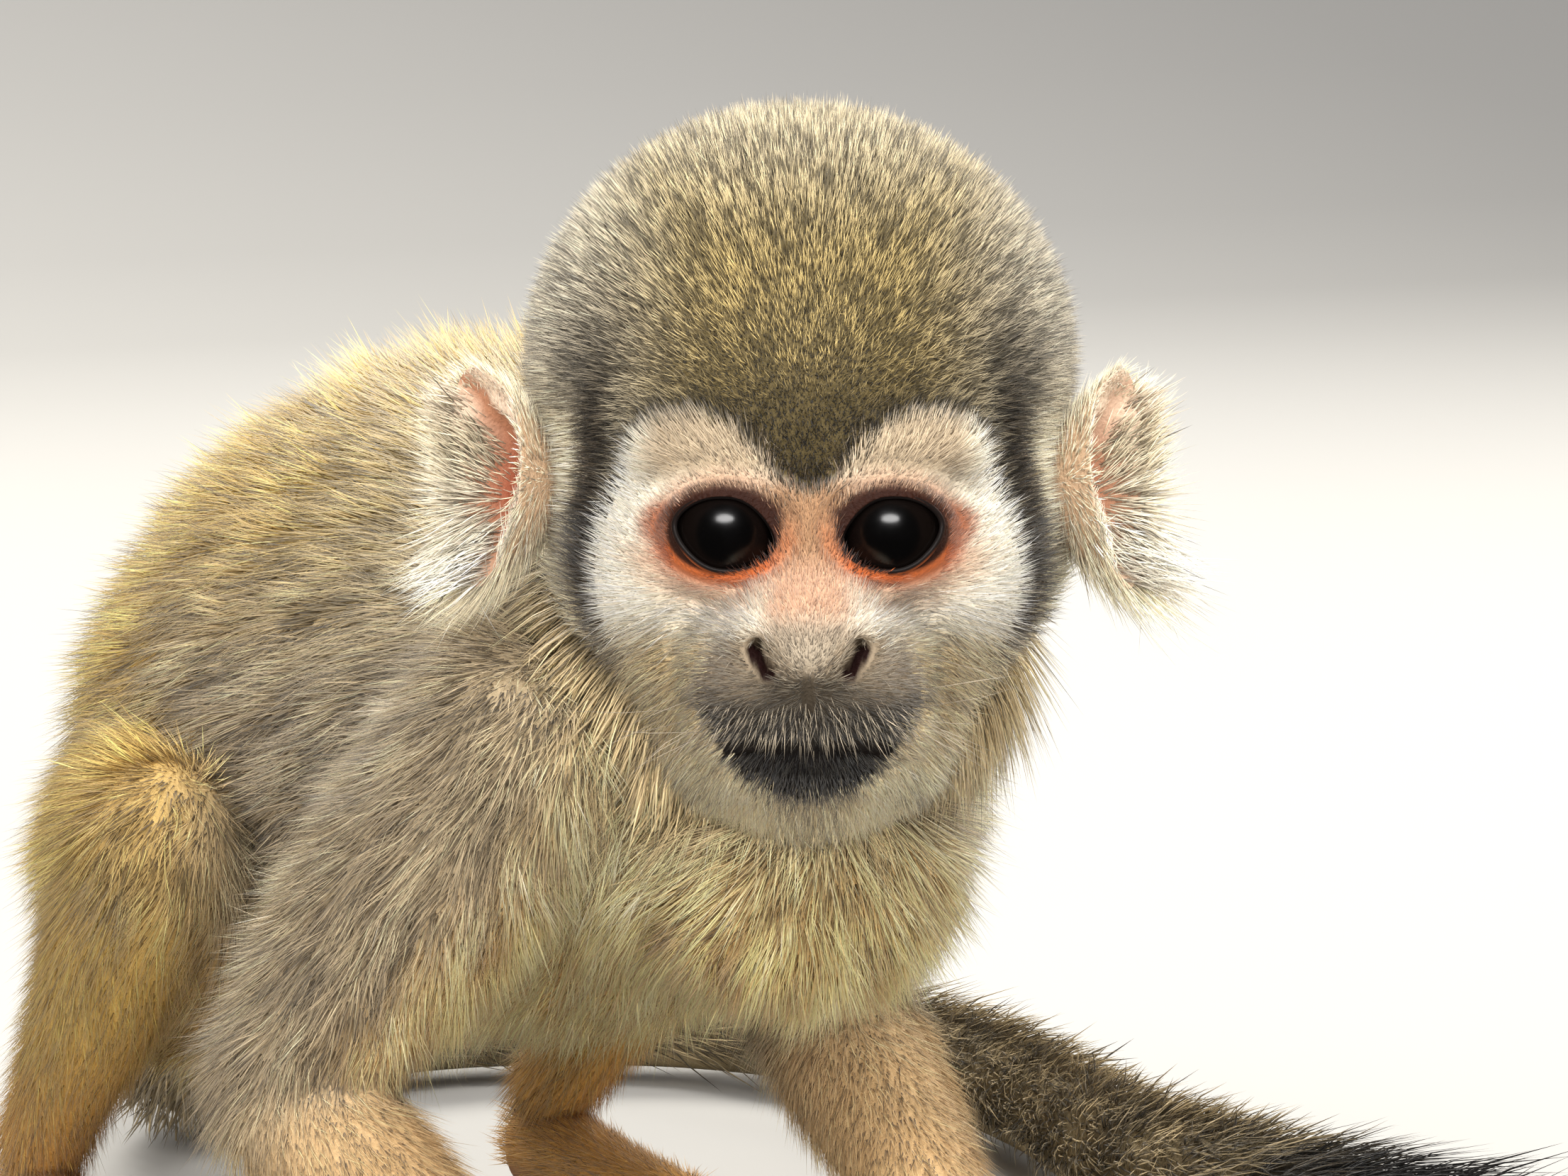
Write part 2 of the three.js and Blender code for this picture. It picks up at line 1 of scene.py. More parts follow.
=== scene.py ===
"""The looks of a life-size still model of a common squirrel monkey, crouched on all fours.

The flesh is one skin in three pieces that meet under the coat: the head with its ears, the body with its
limbs and tail, and the hands and feet. The coat is solid tufts rooted on that skin, which follow the lie
of the hair and carry the same markings as the skin under them.

Plans are in millimetres, in the animal's own frame (+X its left, +Y towards its rump, +Z up, the body's
middle at X = 0) or in the head's frame (origin between the eyes). Meshes are written in metres.
"""

import logging
import math
from collections.abc import Callable, Sequence
from dataclasses import dataclass, field, fields
from enum import Enum

import bpy
import numpy as np
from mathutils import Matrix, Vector
from mathutils.kdtree import KDTree


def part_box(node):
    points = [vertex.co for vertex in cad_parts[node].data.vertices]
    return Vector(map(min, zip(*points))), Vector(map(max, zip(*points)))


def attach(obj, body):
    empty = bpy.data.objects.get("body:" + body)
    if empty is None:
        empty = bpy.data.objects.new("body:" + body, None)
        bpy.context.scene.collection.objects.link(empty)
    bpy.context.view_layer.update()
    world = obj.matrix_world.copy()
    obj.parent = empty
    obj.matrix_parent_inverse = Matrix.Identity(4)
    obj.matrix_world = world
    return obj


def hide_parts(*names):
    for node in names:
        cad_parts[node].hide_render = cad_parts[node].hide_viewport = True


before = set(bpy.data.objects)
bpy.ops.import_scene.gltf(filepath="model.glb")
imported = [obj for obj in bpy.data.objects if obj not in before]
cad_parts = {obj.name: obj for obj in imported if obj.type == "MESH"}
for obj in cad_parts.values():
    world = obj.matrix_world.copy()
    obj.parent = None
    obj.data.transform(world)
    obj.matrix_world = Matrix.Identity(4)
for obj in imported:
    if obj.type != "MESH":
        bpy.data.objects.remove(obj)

log = logging.getLogger("monkey")
Array = np.ndarray
Object = bpy.types.Object
Triple = tuple[float, float, float]
Pair = tuple[float, float]
Line = tuple[Pair, ...]
MM = 0.001
COAT = "Coat"  # the colour attribute that every piece of skin and hair carries
SIDES = {1: "left", -1: "right"}


# ---------------------------------------------------------------- numbers


def unit(vectors: Array) -> Array:
    """Scale the vectors in the last axis to length 1."""
    return vectors / np.maximum(np.linalg.norm(vectors, axis=-1, keepdims=True), 1e-9)


def rotation(angle: float, axis: int) -> Array:
    """The matrix that turns points about an axis, 0 for X, 1 for Y and 2 for Z."""
    i, j = (axis + 1) % 3, (axis + 2) % 3
    turn = np.eye(3)
    turn[i, i] = turn[j, j] = math.cos(angle)
    turn[i, j], turn[j, i] = -math.sin(angle), math.sin(angle)
    return turn


def ramp(x: Array, low: float, high: float) -> Array:
    """Rise smoothly from 0 at `low` to 1 at `high`, or fall where `high` is the smaller."""
    t = np.clip((x - low) / (high - low), 0, 1)
    return t * t * (3 - 2 * t)


def mix(a: Array, b: Array, share: Array) -> Array:
    """Mix two values or rows of values.

    Args:
        a: What a share of 0 gives.
        b: What a share of 1 gives.
        share: How much of `b`, one number for each row.

    Returns:
        The mixture.
    """
    a, b, share = np.asarray(a, float), np.asarray(b, float), np.asarray(share, float)
    if max(a.ndim, b.ndim) > share.ndim or b.shape[-1:] == (3,):
        share = share[..., None]
    return a + (b - a) * share


def linear(colour: Triple) -> Array:
    """Turn a colour as a screen shows it, 0 to 1, into the linear values that a shader reads."""
    c = np.asarray(colour, float)
    return np.where(c <= 0.04045, c / 12.92, ((c + 0.055) / 1.055) ** 2.4)


def sway(points: Array, wavelength: float, seed: int) -> Array:
    """A soft random wave through space, from about -1 to 1.

    Args:
        points: Places in millimetres.
        wavelength: The wave's size in millimetres.
        seed: Which wave.

    Returns:
        The wave at each point.
    """
    draw = np.random.default_rng(seed)
    total = np.zeros(len(points))
    for _ in range(5):
        direction = unit(draw.normal(size=3))
        pitch = wavelength * draw.uniform(0.7, 1.5)
        total += np.sin(points @ direction * (2 * np.pi / pitch) + draw.uniform(0, 6.28))
    return total / 3  # five waves seldom peak together


def route(stations: Array, t: Array) -> Array:
    """Follow a Catmull-Rom curve through stations.

    Args:
        stations: The rows that the curve passes through.
        t: How far along, from 0 to 1.

    Returns:
        The curve's row at each t.
    """
    rows = np.asarray(stations, float)
    padded = np.vstack([2 * rows[0] - rows[1], rows, 2 * rows[-1] - rows[-2]])
    place = np.clip(t, 0, 1) * (len(rows) - 1)
    first = np.minimum(place.astype(int), len(rows) - 2)
    s = (place - first)[:, None]
    p0, p1, p2, p3 = (padded[first + i] for i in range(4))
    return 0.5 * (
        2 * p1
        + (p2 - p0) * s
        + (2 * p0 - 5 * p1 + 4 * p2 - p3) * s**2
        + (3 * p1 - p0 - 3 * p2 + p3) * s**3
    )


# ---------------------------------------------------------------- work on meshes


def sorted_places(places: Sequence[Vector] | Array) -> KDTree:
    """Places, sorted so that the one nearest to a point is soon found."""
    tree = KDTree(len(places))
    for i, place in enumerate(places):
        tree.insert(place, i)
    tree.balance()
    return tree


def only(piece: Object) -> Object:
    """Select one object alone and make it active.

    Args:
        piece: The object.

    Returns:
        The same object.
    """
    bpy.ops.object.select_all(action="DESELECT")
    piece.select_set(True)
    bpy.context.view_layer.objects.active = piece
    return piece


def primitive(add: Callable[..., object], **sizes: object) -> Object:
    """Add a primitive with nothing else selected.

    Args:
        add: The operator that adds it.
        **sizes: What the operator is given.

    Returns:
        The new object.
    """
    bpy.ops.object.select_all(action="DESELECT")
    add(**sizes)
    return bpy.context.active_object


def points_of(piece: Object, reading: str = "co") -> Array:
    """A mesh's vertices as rows, or another reading of each vertex."""
    flat = np.empty(len(piece.data.vertices) * 3)
    piece.data.vertices.foreach_get(reading, flat)
    return flat.reshape(-1, 3)


def normals_of(piece: Object) -> Array:
    """A mesh's vertex normals as rows."""
    return points_of(piece, "normal")


def move_points(piece: Object, points: Array) -> None:
    """Put a mesh's vertices at the given rows."""
    piece.data.vertices.foreach_set("co", np.ascontiguousarray(points, float).ravel())
    piece.data.update()


def finish_modifier(piece: Object, kind: str, **settings: object) -> None:
    """Add a modifier with its settings and apply it.

    Args:
        piece: The object to change.
        kind: Blender's name of the modifier.
        **settings: The modifier's properties.
    """
    only(piece)
    bpy.ops.object.modifier_add(type=kind)
    modifier = piece.modifiers[-1]
    for name, value in settings.items():
        setattr(modifier, name, value)
    bpy.ops.object.modifier_apply(modifier=modifier.name)


def merge(pieces: list[Object], name: str) -> Object:
    """Join objects into one.

    Args:
        pieces: The objects.
        name: The name of the whole.

    Returns:
        The joined object.
    """
    bpy.ops.object.select_all(action="DESELECT")
    for piece in pieces:
        piece.select_set(True)
    bpy.context.view_layer.objects.active = pieces[0]
    bpy.ops.object.join()
    whole = bpy.context.view_layer.objects.active
    whole.name = name
    whole.data.name = name
    return whole


def smooth(piece: Object) -> None:
    """Shade a mesh smooth."""
    only(piece)
    bpy.ops.object.shade_smooth()


def edit(piece: Object, change: Callable[..., object], **settings: object) -> None:
    """Run an edit-mode operator on the whole of a mesh.

    Args:
        piece: The mesh.
        change: The operator.
        **settings: What it is given.
    """
    only(piece)
    bpy.ops.object.mode_set(mode="EDIT")
    bpy.ops.mesh.select_all(action="SELECT")
    change(**settings)
    bpy.ops.object.mode_set(mode="OBJECT")


def face_out(piece: Object) -> None:
    """Turn a closed mesh's faces outwards."""
    edit(piece, bpy.ops.mesh.normals_make_consistent, inside=False)


def closed_ball(around: int, rings: int, place: Callable[[Array, Array], Array]) -> Object:
    """Add a ball and move each of its vertices.

    Args:
        around: Vertices round the ball.
        rings: Rows of faces from pole to pole.
        place: Gives points in metres from the turn u (0 to 1) and the way v from pole to pole (0 to 1).

    Returns:
        The shaped object, with its faces pointing out.
    """
    ball = primitive(bpy.ops.mesh.primitive_uv_sphere_add, segments=around, ring_count=rings, radius=1)
    p = points_of(ball)
    v = np.round(np.arccos(np.clip(p[:, 2], -1, 1)) / np.pi * rings) / rings
    u = (np.arctan2(p[:, 1], p[:, 0]) / (2 * np.pi)) % 1
    u = np.where((v < 1e-6) | (v > 1 - 1e-6), 0, u)
    move_points(ball, place(u, v))
    face_out(ball)
    return ball


def paint(piece: Object, colours: Array) -> None:
    """Give each vertex its colour.

    Args:
        piece: The mesh.
        colours: Linear red, green and blue for each vertex.
    """
    rgba = np.ones((len(colours), 4), np.float32)
    rgba[:, :3] = np.clip(colours, 0, 1)
    layer = piece.data.color_attributes.new(name=COAT, type="FLOAT_COLOR", domain="POINT")
    layer.data.foreach_set("color", rgba.ravel())


# ---------------------------------------------------------------- finishes


class Slot(Enum):
    """The record's material slots."""

    HEAD = "head_coat"
    THROAT = "throat_coat"
    BACK = "back_coat"
    GREY = "grey_coat"
    GOLD = "gold_coat"
    HAND = "hand_skin"
    EAR = "ear_skin"
    EYE = "eye"
    TAIL_TIP = "tail_tip_coat"


def grain_group() -> bpy.types.NodeTree:
    """Build the shared grain: colour that wanders a little in value, and a fine height.

    Returns:
        The node group, with inputs Color, Scale and Amount and outputs Color and Height.
    """
    group = bpy.data.node_groups.new("Grain", "ShaderNodeTree")
    for name, way, kind in (
        ("Color", "INPUT", "Color"), ("Scale", "INPUT", "Float"), ("Amount", "INPUT", "Float"),
        ("Color", "OUTPUT", "Color"), ("Height", "OUTPUT", "Float"),
    ):
        group.interface.new_socket(name, in_out=way, socket_type=f"NodeSocket{kind}")
    add, link = group.nodes.new, group.links.new
    given, out = add("NodeGroupInput"), add("NodeGroupOutput")
    where = add("ShaderNodeTexCoord")
    noise = add("ShaderNodeTexNoise")
    noise.inputs["Detail"].default_value = 3
    link(where.outputs["Object"], noise.inputs["Vector"])
    link(given.outputs["Scale"], noise.inputs["Scale"])
    centre = add("ShaderNodeMath")
    centre.operation = "SUBTRACT"
    centre.inputs[1].default_value = 0.5
    link(noise.outputs["Fac"], centre.inputs[0])
    spread = add("ShaderNodeMath")
    spread.operation = "MULTIPLY_ADD"
    spread.inputs[2].default_value = 1
    link(centre.outputs[0], spread.inputs[0])
    link(given.outputs["Amount"], spread.inputs[1])
    tint = add("ShaderNodeHueSaturation")
    link(spread.outputs[0], tint.inputs["Value"])
    link(given.outputs["Color"], tint.inputs["Color"])
    link(tint.outputs["Color"], out.inputs["Color"])
    link(noise.outputs["Fac"], out.inputs["Height"])
    return group


@dataclass(frozen=True)
class Finish:
    """How a piece's surface looks, over the colours that it carries."""

    name: str
    roughness: float
    specular: float = 0.5
    grain_scale: float = 900.0
    grain: float = 0.5
    bump: float = 0.0
    bump_depth: float = 0.0002
    sheen: float = 0.0

    def make(self, grain: bpy.types.NodeTree) -> bpy.types.Material:
        """Build the material.

        Args:
            grain: The shared grain group.

        Returns:
            The material.
        """
        material = bpy.data.materials.new(self.name)
        material.use_nodes = True
        add, link = material.node_tree.nodes.new, material.node_tree.links.new
        surface = material.node_tree.nodes["Principled BSDF"]
        surface.inputs["Specular IOR Level"].default_value = self.specular
        surface.inputs["Sheen Weight"].default_value = self.sheen
        surface.inputs["Sheen Roughness"].default_value = 0.4
        carried = add("ShaderNodeAttribute")
        carried.attribute_name = COAT
        shared = add("ShaderNodeGroup")
        shared.node_tree = grain
        shared.inputs["Scale"].default_value = self.grain_scale
        shared.inputs["Amount"].default_value = self.grain
        link(carried.outputs["Color"], shared.inputs["Color"])
        link(shared.outputs["Color"], surface.inputs["Base Color"])
        rough = add("ShaderNodeMapRange")
        rough.inputs["To Min"].default_value = max(self.roughness - 0.08, 0.02)
        rough.inputs["To Max"].default_value = self.roughness + 0.08
        link(shared.outputs["Height"], rough.inputs["Value"])
        link(rough.outputs["Result"], surface.inputs["Roughness"])
        if self.bump:
            bump = add("ShaderNodeBump")
            bump.inputs["Strength"].default_value = self.bump
            bump.inputs["Distance"].default_value = self.bump_depth
            link(shared.outputs["Height"], bump.inputs["Height"])
            link(bump.outputs["Normal"], surface.inputs["Normal"])
        return material


HAIR = Finish("hair", roughness=0.52, specular=0.35, grain_scale=1400, grain=0.35, sheen=0.12)
HIDE = Finish("hide", roughness=0.62, specular=0.22, grain_scale=2200, grain=0.6, bump=0.8, bump_depth=0.0004)
LID_RIM = Finish("lid_rim", roughness=0.42, specular=0.14, grain_scale=1800, grain=0.4, bump=0.2)
BALL = Finish("eyeball", roughness=0.2, specular=0.42, grain_scale=500, grain=0.3)
NAIL = Finish("nail", roughness=0.32, grain_scale=700, grain=0.5, bump=0.15)


# ---------------------------------------------------------------- where the animal stands


@dataclass
class Stand:
    """The animal's place in the frame, found from its eyes."""

    eye_plan: Triple = (-17.5, -30.3, 110.0)  # between the eyes, in the animal's own frame
    nod: float = math.radians(13)  # the head's forward nod
    eyes: Array = field(init=False)
    middle: Array = field(init=False)
    head_axes: Array = field(init=False)
    shift: Array = field(init=False)

    def __post_init__(self) -> None:
        """Read the eyes' centres from the frame."""
        centres = []
        for side in ("left", "right"):
            low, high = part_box(f"eye_{side}")
            centres.append((np.array(low) + np.array(high)) / 2 / MM)
        self.eyes = np.array(centres)
        self.middle = self.eyes.mean(axis=0)
        across = unit(self.eyes[0] - self.eyes[1])
        turn = math.atan2(across[1], across[0])
        self.head_axes = rotation(turn, 2) @ rotation(self.nod, 0)
        self.shift = self.middle - np.array(self.eye_plan)

    def from_head(self, points: Array) -> Array:
        """Points of the head's frame in millimetres, as metres of the whole frame."""
        return (points @ self.head_axes.T + self.middle) * MM

    def to_head(self, points: Array) -> Array:
        """Points in metres of the whole frame, as millimetres of the head's frame."""
        return (points / MM - self.middle) @ self.head_axes

    def from_body(self, points: Array) -> Array:
        """Points of the animal's own frame in millimetres, as metres of the whole frame."""
        return (points + self.shift) * MM

    def to_body(self, points: Array) -> Array:
        """Points in metres of the whole frame, as millimetres of the animal's own frame."""
        return points / MM - self.shift


# ---------------------------------------------------------------- the head's form


@dataclass(frozen=True)
class Form:
    """An ellipsoid of the head's form, in the head's frame."""

    centre: Triple
    radii: Triple
    softness: float = 4.0
    pair: bool = False  # the same again on the other side

    def distance(self, p: Array) -> Array:
        """Rough distance from points to the surface, negative inside."""
        q = (p - np.array(self.centre)) / np.array(self.radii)
        k0 = np.linalg.norm(q, axis=1)
        k1 = np.maximum(np.linalg.norm(q / np.array(self.radii), axis=1), 1e-9)
        return k0 * (k0 - 1) / k1

    def sides(self) -> list["Form"]:
        """The form, and its mirror image where it is one of a pair."""
        if not self.pair:
            return [self]
        x, y, z = self.centre
        return [self, Form((-x, y, z), self.radii, self.softness)]


def soft_union(a: Array, b: Array, softness: float) -> Array:
    """Union of two sets of distances, swollen where they are within `softness` of each other."""
    h = np.maximum(softness - np.abs(a - b), 0) / softness
    return np.minimum(a, b) - h * h * softness / 4


@dataclass
class HeadForm:
    """The head's outline out to the tips of its short coat, as a soft union of ellipsoids."""

    forms: tuple[Form, ...] = (
        Form((-0.8, 33, 9.5), (31.8, 36, 29)),  # crown
        Form((0, 13, -3), (22, 18, 17), 6),  # face
        Form((15, 22, -8), (15, 22, 17), 6, True),  # cheeks
        Form((9.5, 4.2, 9.5), (10.5, 6.5, 4.6), 5, True),  # brows
        Form((0, 16, -18), (19.5, 22, 12), 6),  # jaw
        Form((0, -3, -15.5), (13.3, 12.5, 9.5), 5),  # muzzle
        Form((6.8, -6.0, -15.5), (6.4, 8.6, 6.6), 6, True),  # whisker pads
        Form((0, -2.5, -4), (4.6, 6, 10), 4),  # bridge of the nose
        Form((0, -7, -8.4), (7.6, 8, 6), 7),  # its lower slope
        Form((0, -12.2, -9.8), (6.2, 4.4, 3.8), 6),  # nose
        Form((5.8, -11.2, -10.6), (2.5, 3.4, 3.4), 3, True),  # wings of the nose
        Form((0, -6.2, -17.8), (10.6, 9.2, 3), 2),  # upper lip
        Form((0, -5.6, -22.6), (8.6, 8, 2.4), 2),  # lower lip
        Form((0, -1, -24.4), (11, 12.2, 7), 3),  # chin
        Form((0, 11, -29), (17, 15, 12), 9),  # throat
    )
    heart: Triple = (0, 13, -10)  # rays from here meet the outline once
    eye_spacing: float = 18.5
    eye_radius: float = 6.3
    lid: float = 1.0  # its thickness
    lid_softness: float = 2.6
    droop: float = 2.9  # how much lower the mouth's corners are than its middle
    half_mouth: float = 10.3

    def eye_centre(self, side: int) -> Array:
        """The middle of an eye, +1 the left one."""
        return np.array([side * self.eye_spacing / 2, 0, 0])

    def distance(self, p: Array) -> Array:
        """Distance from points of the head's frame to its outline, negative inside."""
        total = np.full(len(p), 1e9)
        lowered = self.droop * (np.minimum(np.abs(p[:, 0]), 12) / self.half_mouth) ** 2
        lowered = lowered * ramp(p[:, 2], -13.5, -18) * ramp(p[:, 2], -34, -24) * ramp(p[:, 1], 6, -2)
        p = p + np.stack([0 * lowered, 0 * lowered, lowered], axis=1)
        for form in self.forms:
            for one in form.sides():
                total = soft_union(total, one.distance(p), one.softness)
        for side in (1, -1):
            ball = np.linalg.norm(p - self.eye_centre(side), axis=1) - self.eye_radius - self.lid
            total = soft_union(total, ball, self.lid_softness)
        return total

    def reach(self, directions: Array, sink: Array | float = 0.0) -> Array:
        """How far the outline is from the heart.

        Args:
            directions: Unit vectors.
            sink: How far under the outline to stop, in millimetres.

        Returns:
            The distance along each.
        """
        heart = np.array(self.heart)
        far = np.full(len(directions), 78.0)  # well outside the head
        for _ in range(34):
            far -= 0.82 * (self.distance(heart + directions * far[:, None]) + sink)
        return far


@dataclass
class FaceMap:
    """Coordinates and boundaries on the face, as seen square on with the head's nod."""

    nod_sine: float = 0.342
    nod_cosine: float = 0.94
    core: float = 28.0  # how far behind the eyes the head's middle is
    girth: float = 30.0  # the radius by which a turn round the head becomes millimetres
    half_mask: float = 25.6  # of the white round the eyes
    # [across, height] where the crown's dark coat meets that white
    hairline: Line = (
        (0, 4.6), (3, 6.2), (6, 9.8), (9, 12.4), (12, 13.6), (15, 13.6),
        (18, 12.8), (20, 11.4), (22, 8.6), (23.6, 5), (24.8, 1), (25.5, -4), (25.6, -12),
    )
    half_muzzle: float = 13.4
    muzzle_depth: float = 8.0  # how far behind the eyes the dark muzzle may reach
    muzzle_top: Line = (
        (0, -15.4), (2, -14.6), (3.4, -12.4), (5, -10.8), (8, -11), (10.5, -12.4),
        (12.4, -15), (13.2, -18.5),
    )
    muzzle_foot: Line = (
        (0, -30.4), (4, -29.8), (7, -28), (9, -26), (11, -22.6), (13.2, -18.5),
    )
    eye_place: Pair = (9.4, 0.1)
    eye_half: Pair = (5.6, 4.1)
    nostril_top: Pair = (5.9, -13.2)
    nostril_foot: Pair = (4.4, -15.8)
    mouth_height: float = -23.6

    def read(self, p: Array) -> tuple[Array, Array, Array, Array]:
        """Face coordinates of points in the head's frame.

        Args:
            p: The points.

        Returns:
            The distance across (always positive), the height, the way round the head from the face's
            middle in millimetres, and the depth behind the eyes.
        """
        across = np.abs(p[:, 0])
        height = self.nod_cosine * p[:, 2] + self.nod_sine * p[:, 1]
        round_ = self.girth * np.arctan2(across, self.core - p[:, 1])
        return across, height, round_, p[:, 1]

    def pale(self, across: Array, height: Array, round_: Array) -> Array:
        """How far inside the hairline a point is, in millimetres."""
        line = np.array(self.hairline)
        side = np.where(round_ > 20, np.maximum(round_, across), across)
        rise = np.interp(side, line[:, 0], line[:, 1]) - height
        return np.minimum(np.minimum(rise, self.half_mask - side), 6)

    def muzzle(self, across: Array, height: Array, depth: Array) -> Array:
        """How far inside the dark muzzle a point is, in millimetres."""
        top, foot = np.array(self.muzzle_top), np.array(self.muzzle_foot)
        over = np.interp(across, top[:, 0], top[:, 1]) - height
        under = height - np.interp(across, foot[:, 0], foot[:, 1])
        inside = np.minimum(np.minimum(over, under), self.half_muzzle - across)
        return np.where(depth < self.muzzle_depth, inside, -9.0)

    def eye(self, across: Array, height: Array) -> Array:
        """Distance from the eye's centre as a multiple of its opening."""
        (x, z), (half_width, half_height) = self.eye_place, self.eye_half
        return np.hypot((across - x) / half_width, (height - z) / half_height)

    def nostril(self, across: Array, height: Array) -> Array:
        """Distance from the nostril's slit as a multiple of its half width."""
        start = np.array(self.nostril_top)
        along = np.array(self.nostril_foot) - start
        place = np.stack([across, height], axis=1) - start
        share = np.clip(place @ along / (along @ along), 0, 1)
        bow = np.sin(share * np.pi)[:, None] * np.array([0.25, 0.2])
        gap = np.linalg.norm(place - share[:, None] * along - bow, axis=1)
        return gap / (0.98 - 0.16 * share)

    def mouth(self, across: Array, height: Array) -> Array:
        """Height above the line of the mouth."""
        return height - self.mouth_height + 0.4 * (across / 10) ** 2


# ---------------------------------------------------------------- markings

CREAM = linear((0.93, 0.86, 0.70))
WHITE = linear((0.98, 0.94, 0.86))
BUFF = linear((0.98, 0.82, 0.55))
CHEEK = linear((0.90, 0.80, 0.62))
SHADED_BROW = linear((0.66, 0.58, 0.47))
OLIVE = linear((0.73, 0.64, 0.42))
DARK = linear((0.20, 0.17, 0.14))
GREY = linear((0.80, 0.72, 0.60))
PALE_GREY = linear((0.86, 0.81, 0.71))
GOLD = linear((0.84, 0.69, 0.36))
ORANGE = linear((0.82, 0.62, 0.34))
PINK = linear((0.83, 0.64, 0.51))
TAN = linear((0.60, 0.46, 0.33))
RUST = linear((0.70, 0.36, 0.18))
UMBER = linear((0.22, 0.11, 0.07))
CHARCOAL = linear((0.19, 0.165, 0.135))
MUZZLE_GREY = linear((0.53, 0.47, 0.39))
BLACK = linear((0.085, 0.07, 0.065))
PEAK_BROWN = linear((0.22, 0.17, 0.105))
TEMPLE_BROWN = linear((0.24, 0.19, 0.135))
NOSE_GREY = linear((0.60, 0.54, 0.46))
NOSTRIL_RED = linear((0.11, 0.035, 0.03))
EAR_RED = linear((0.58, 0.24, 0.13))
BRISTLE = linear((0.66, 0.61, 0.53))
HORN = linear((0.23, 0.17, 0.13))
IRIS = np.array((0.0034, 0.0022, 0.0018))
PUPIL = np.array((0.0012, 0.0011, 0.0011))


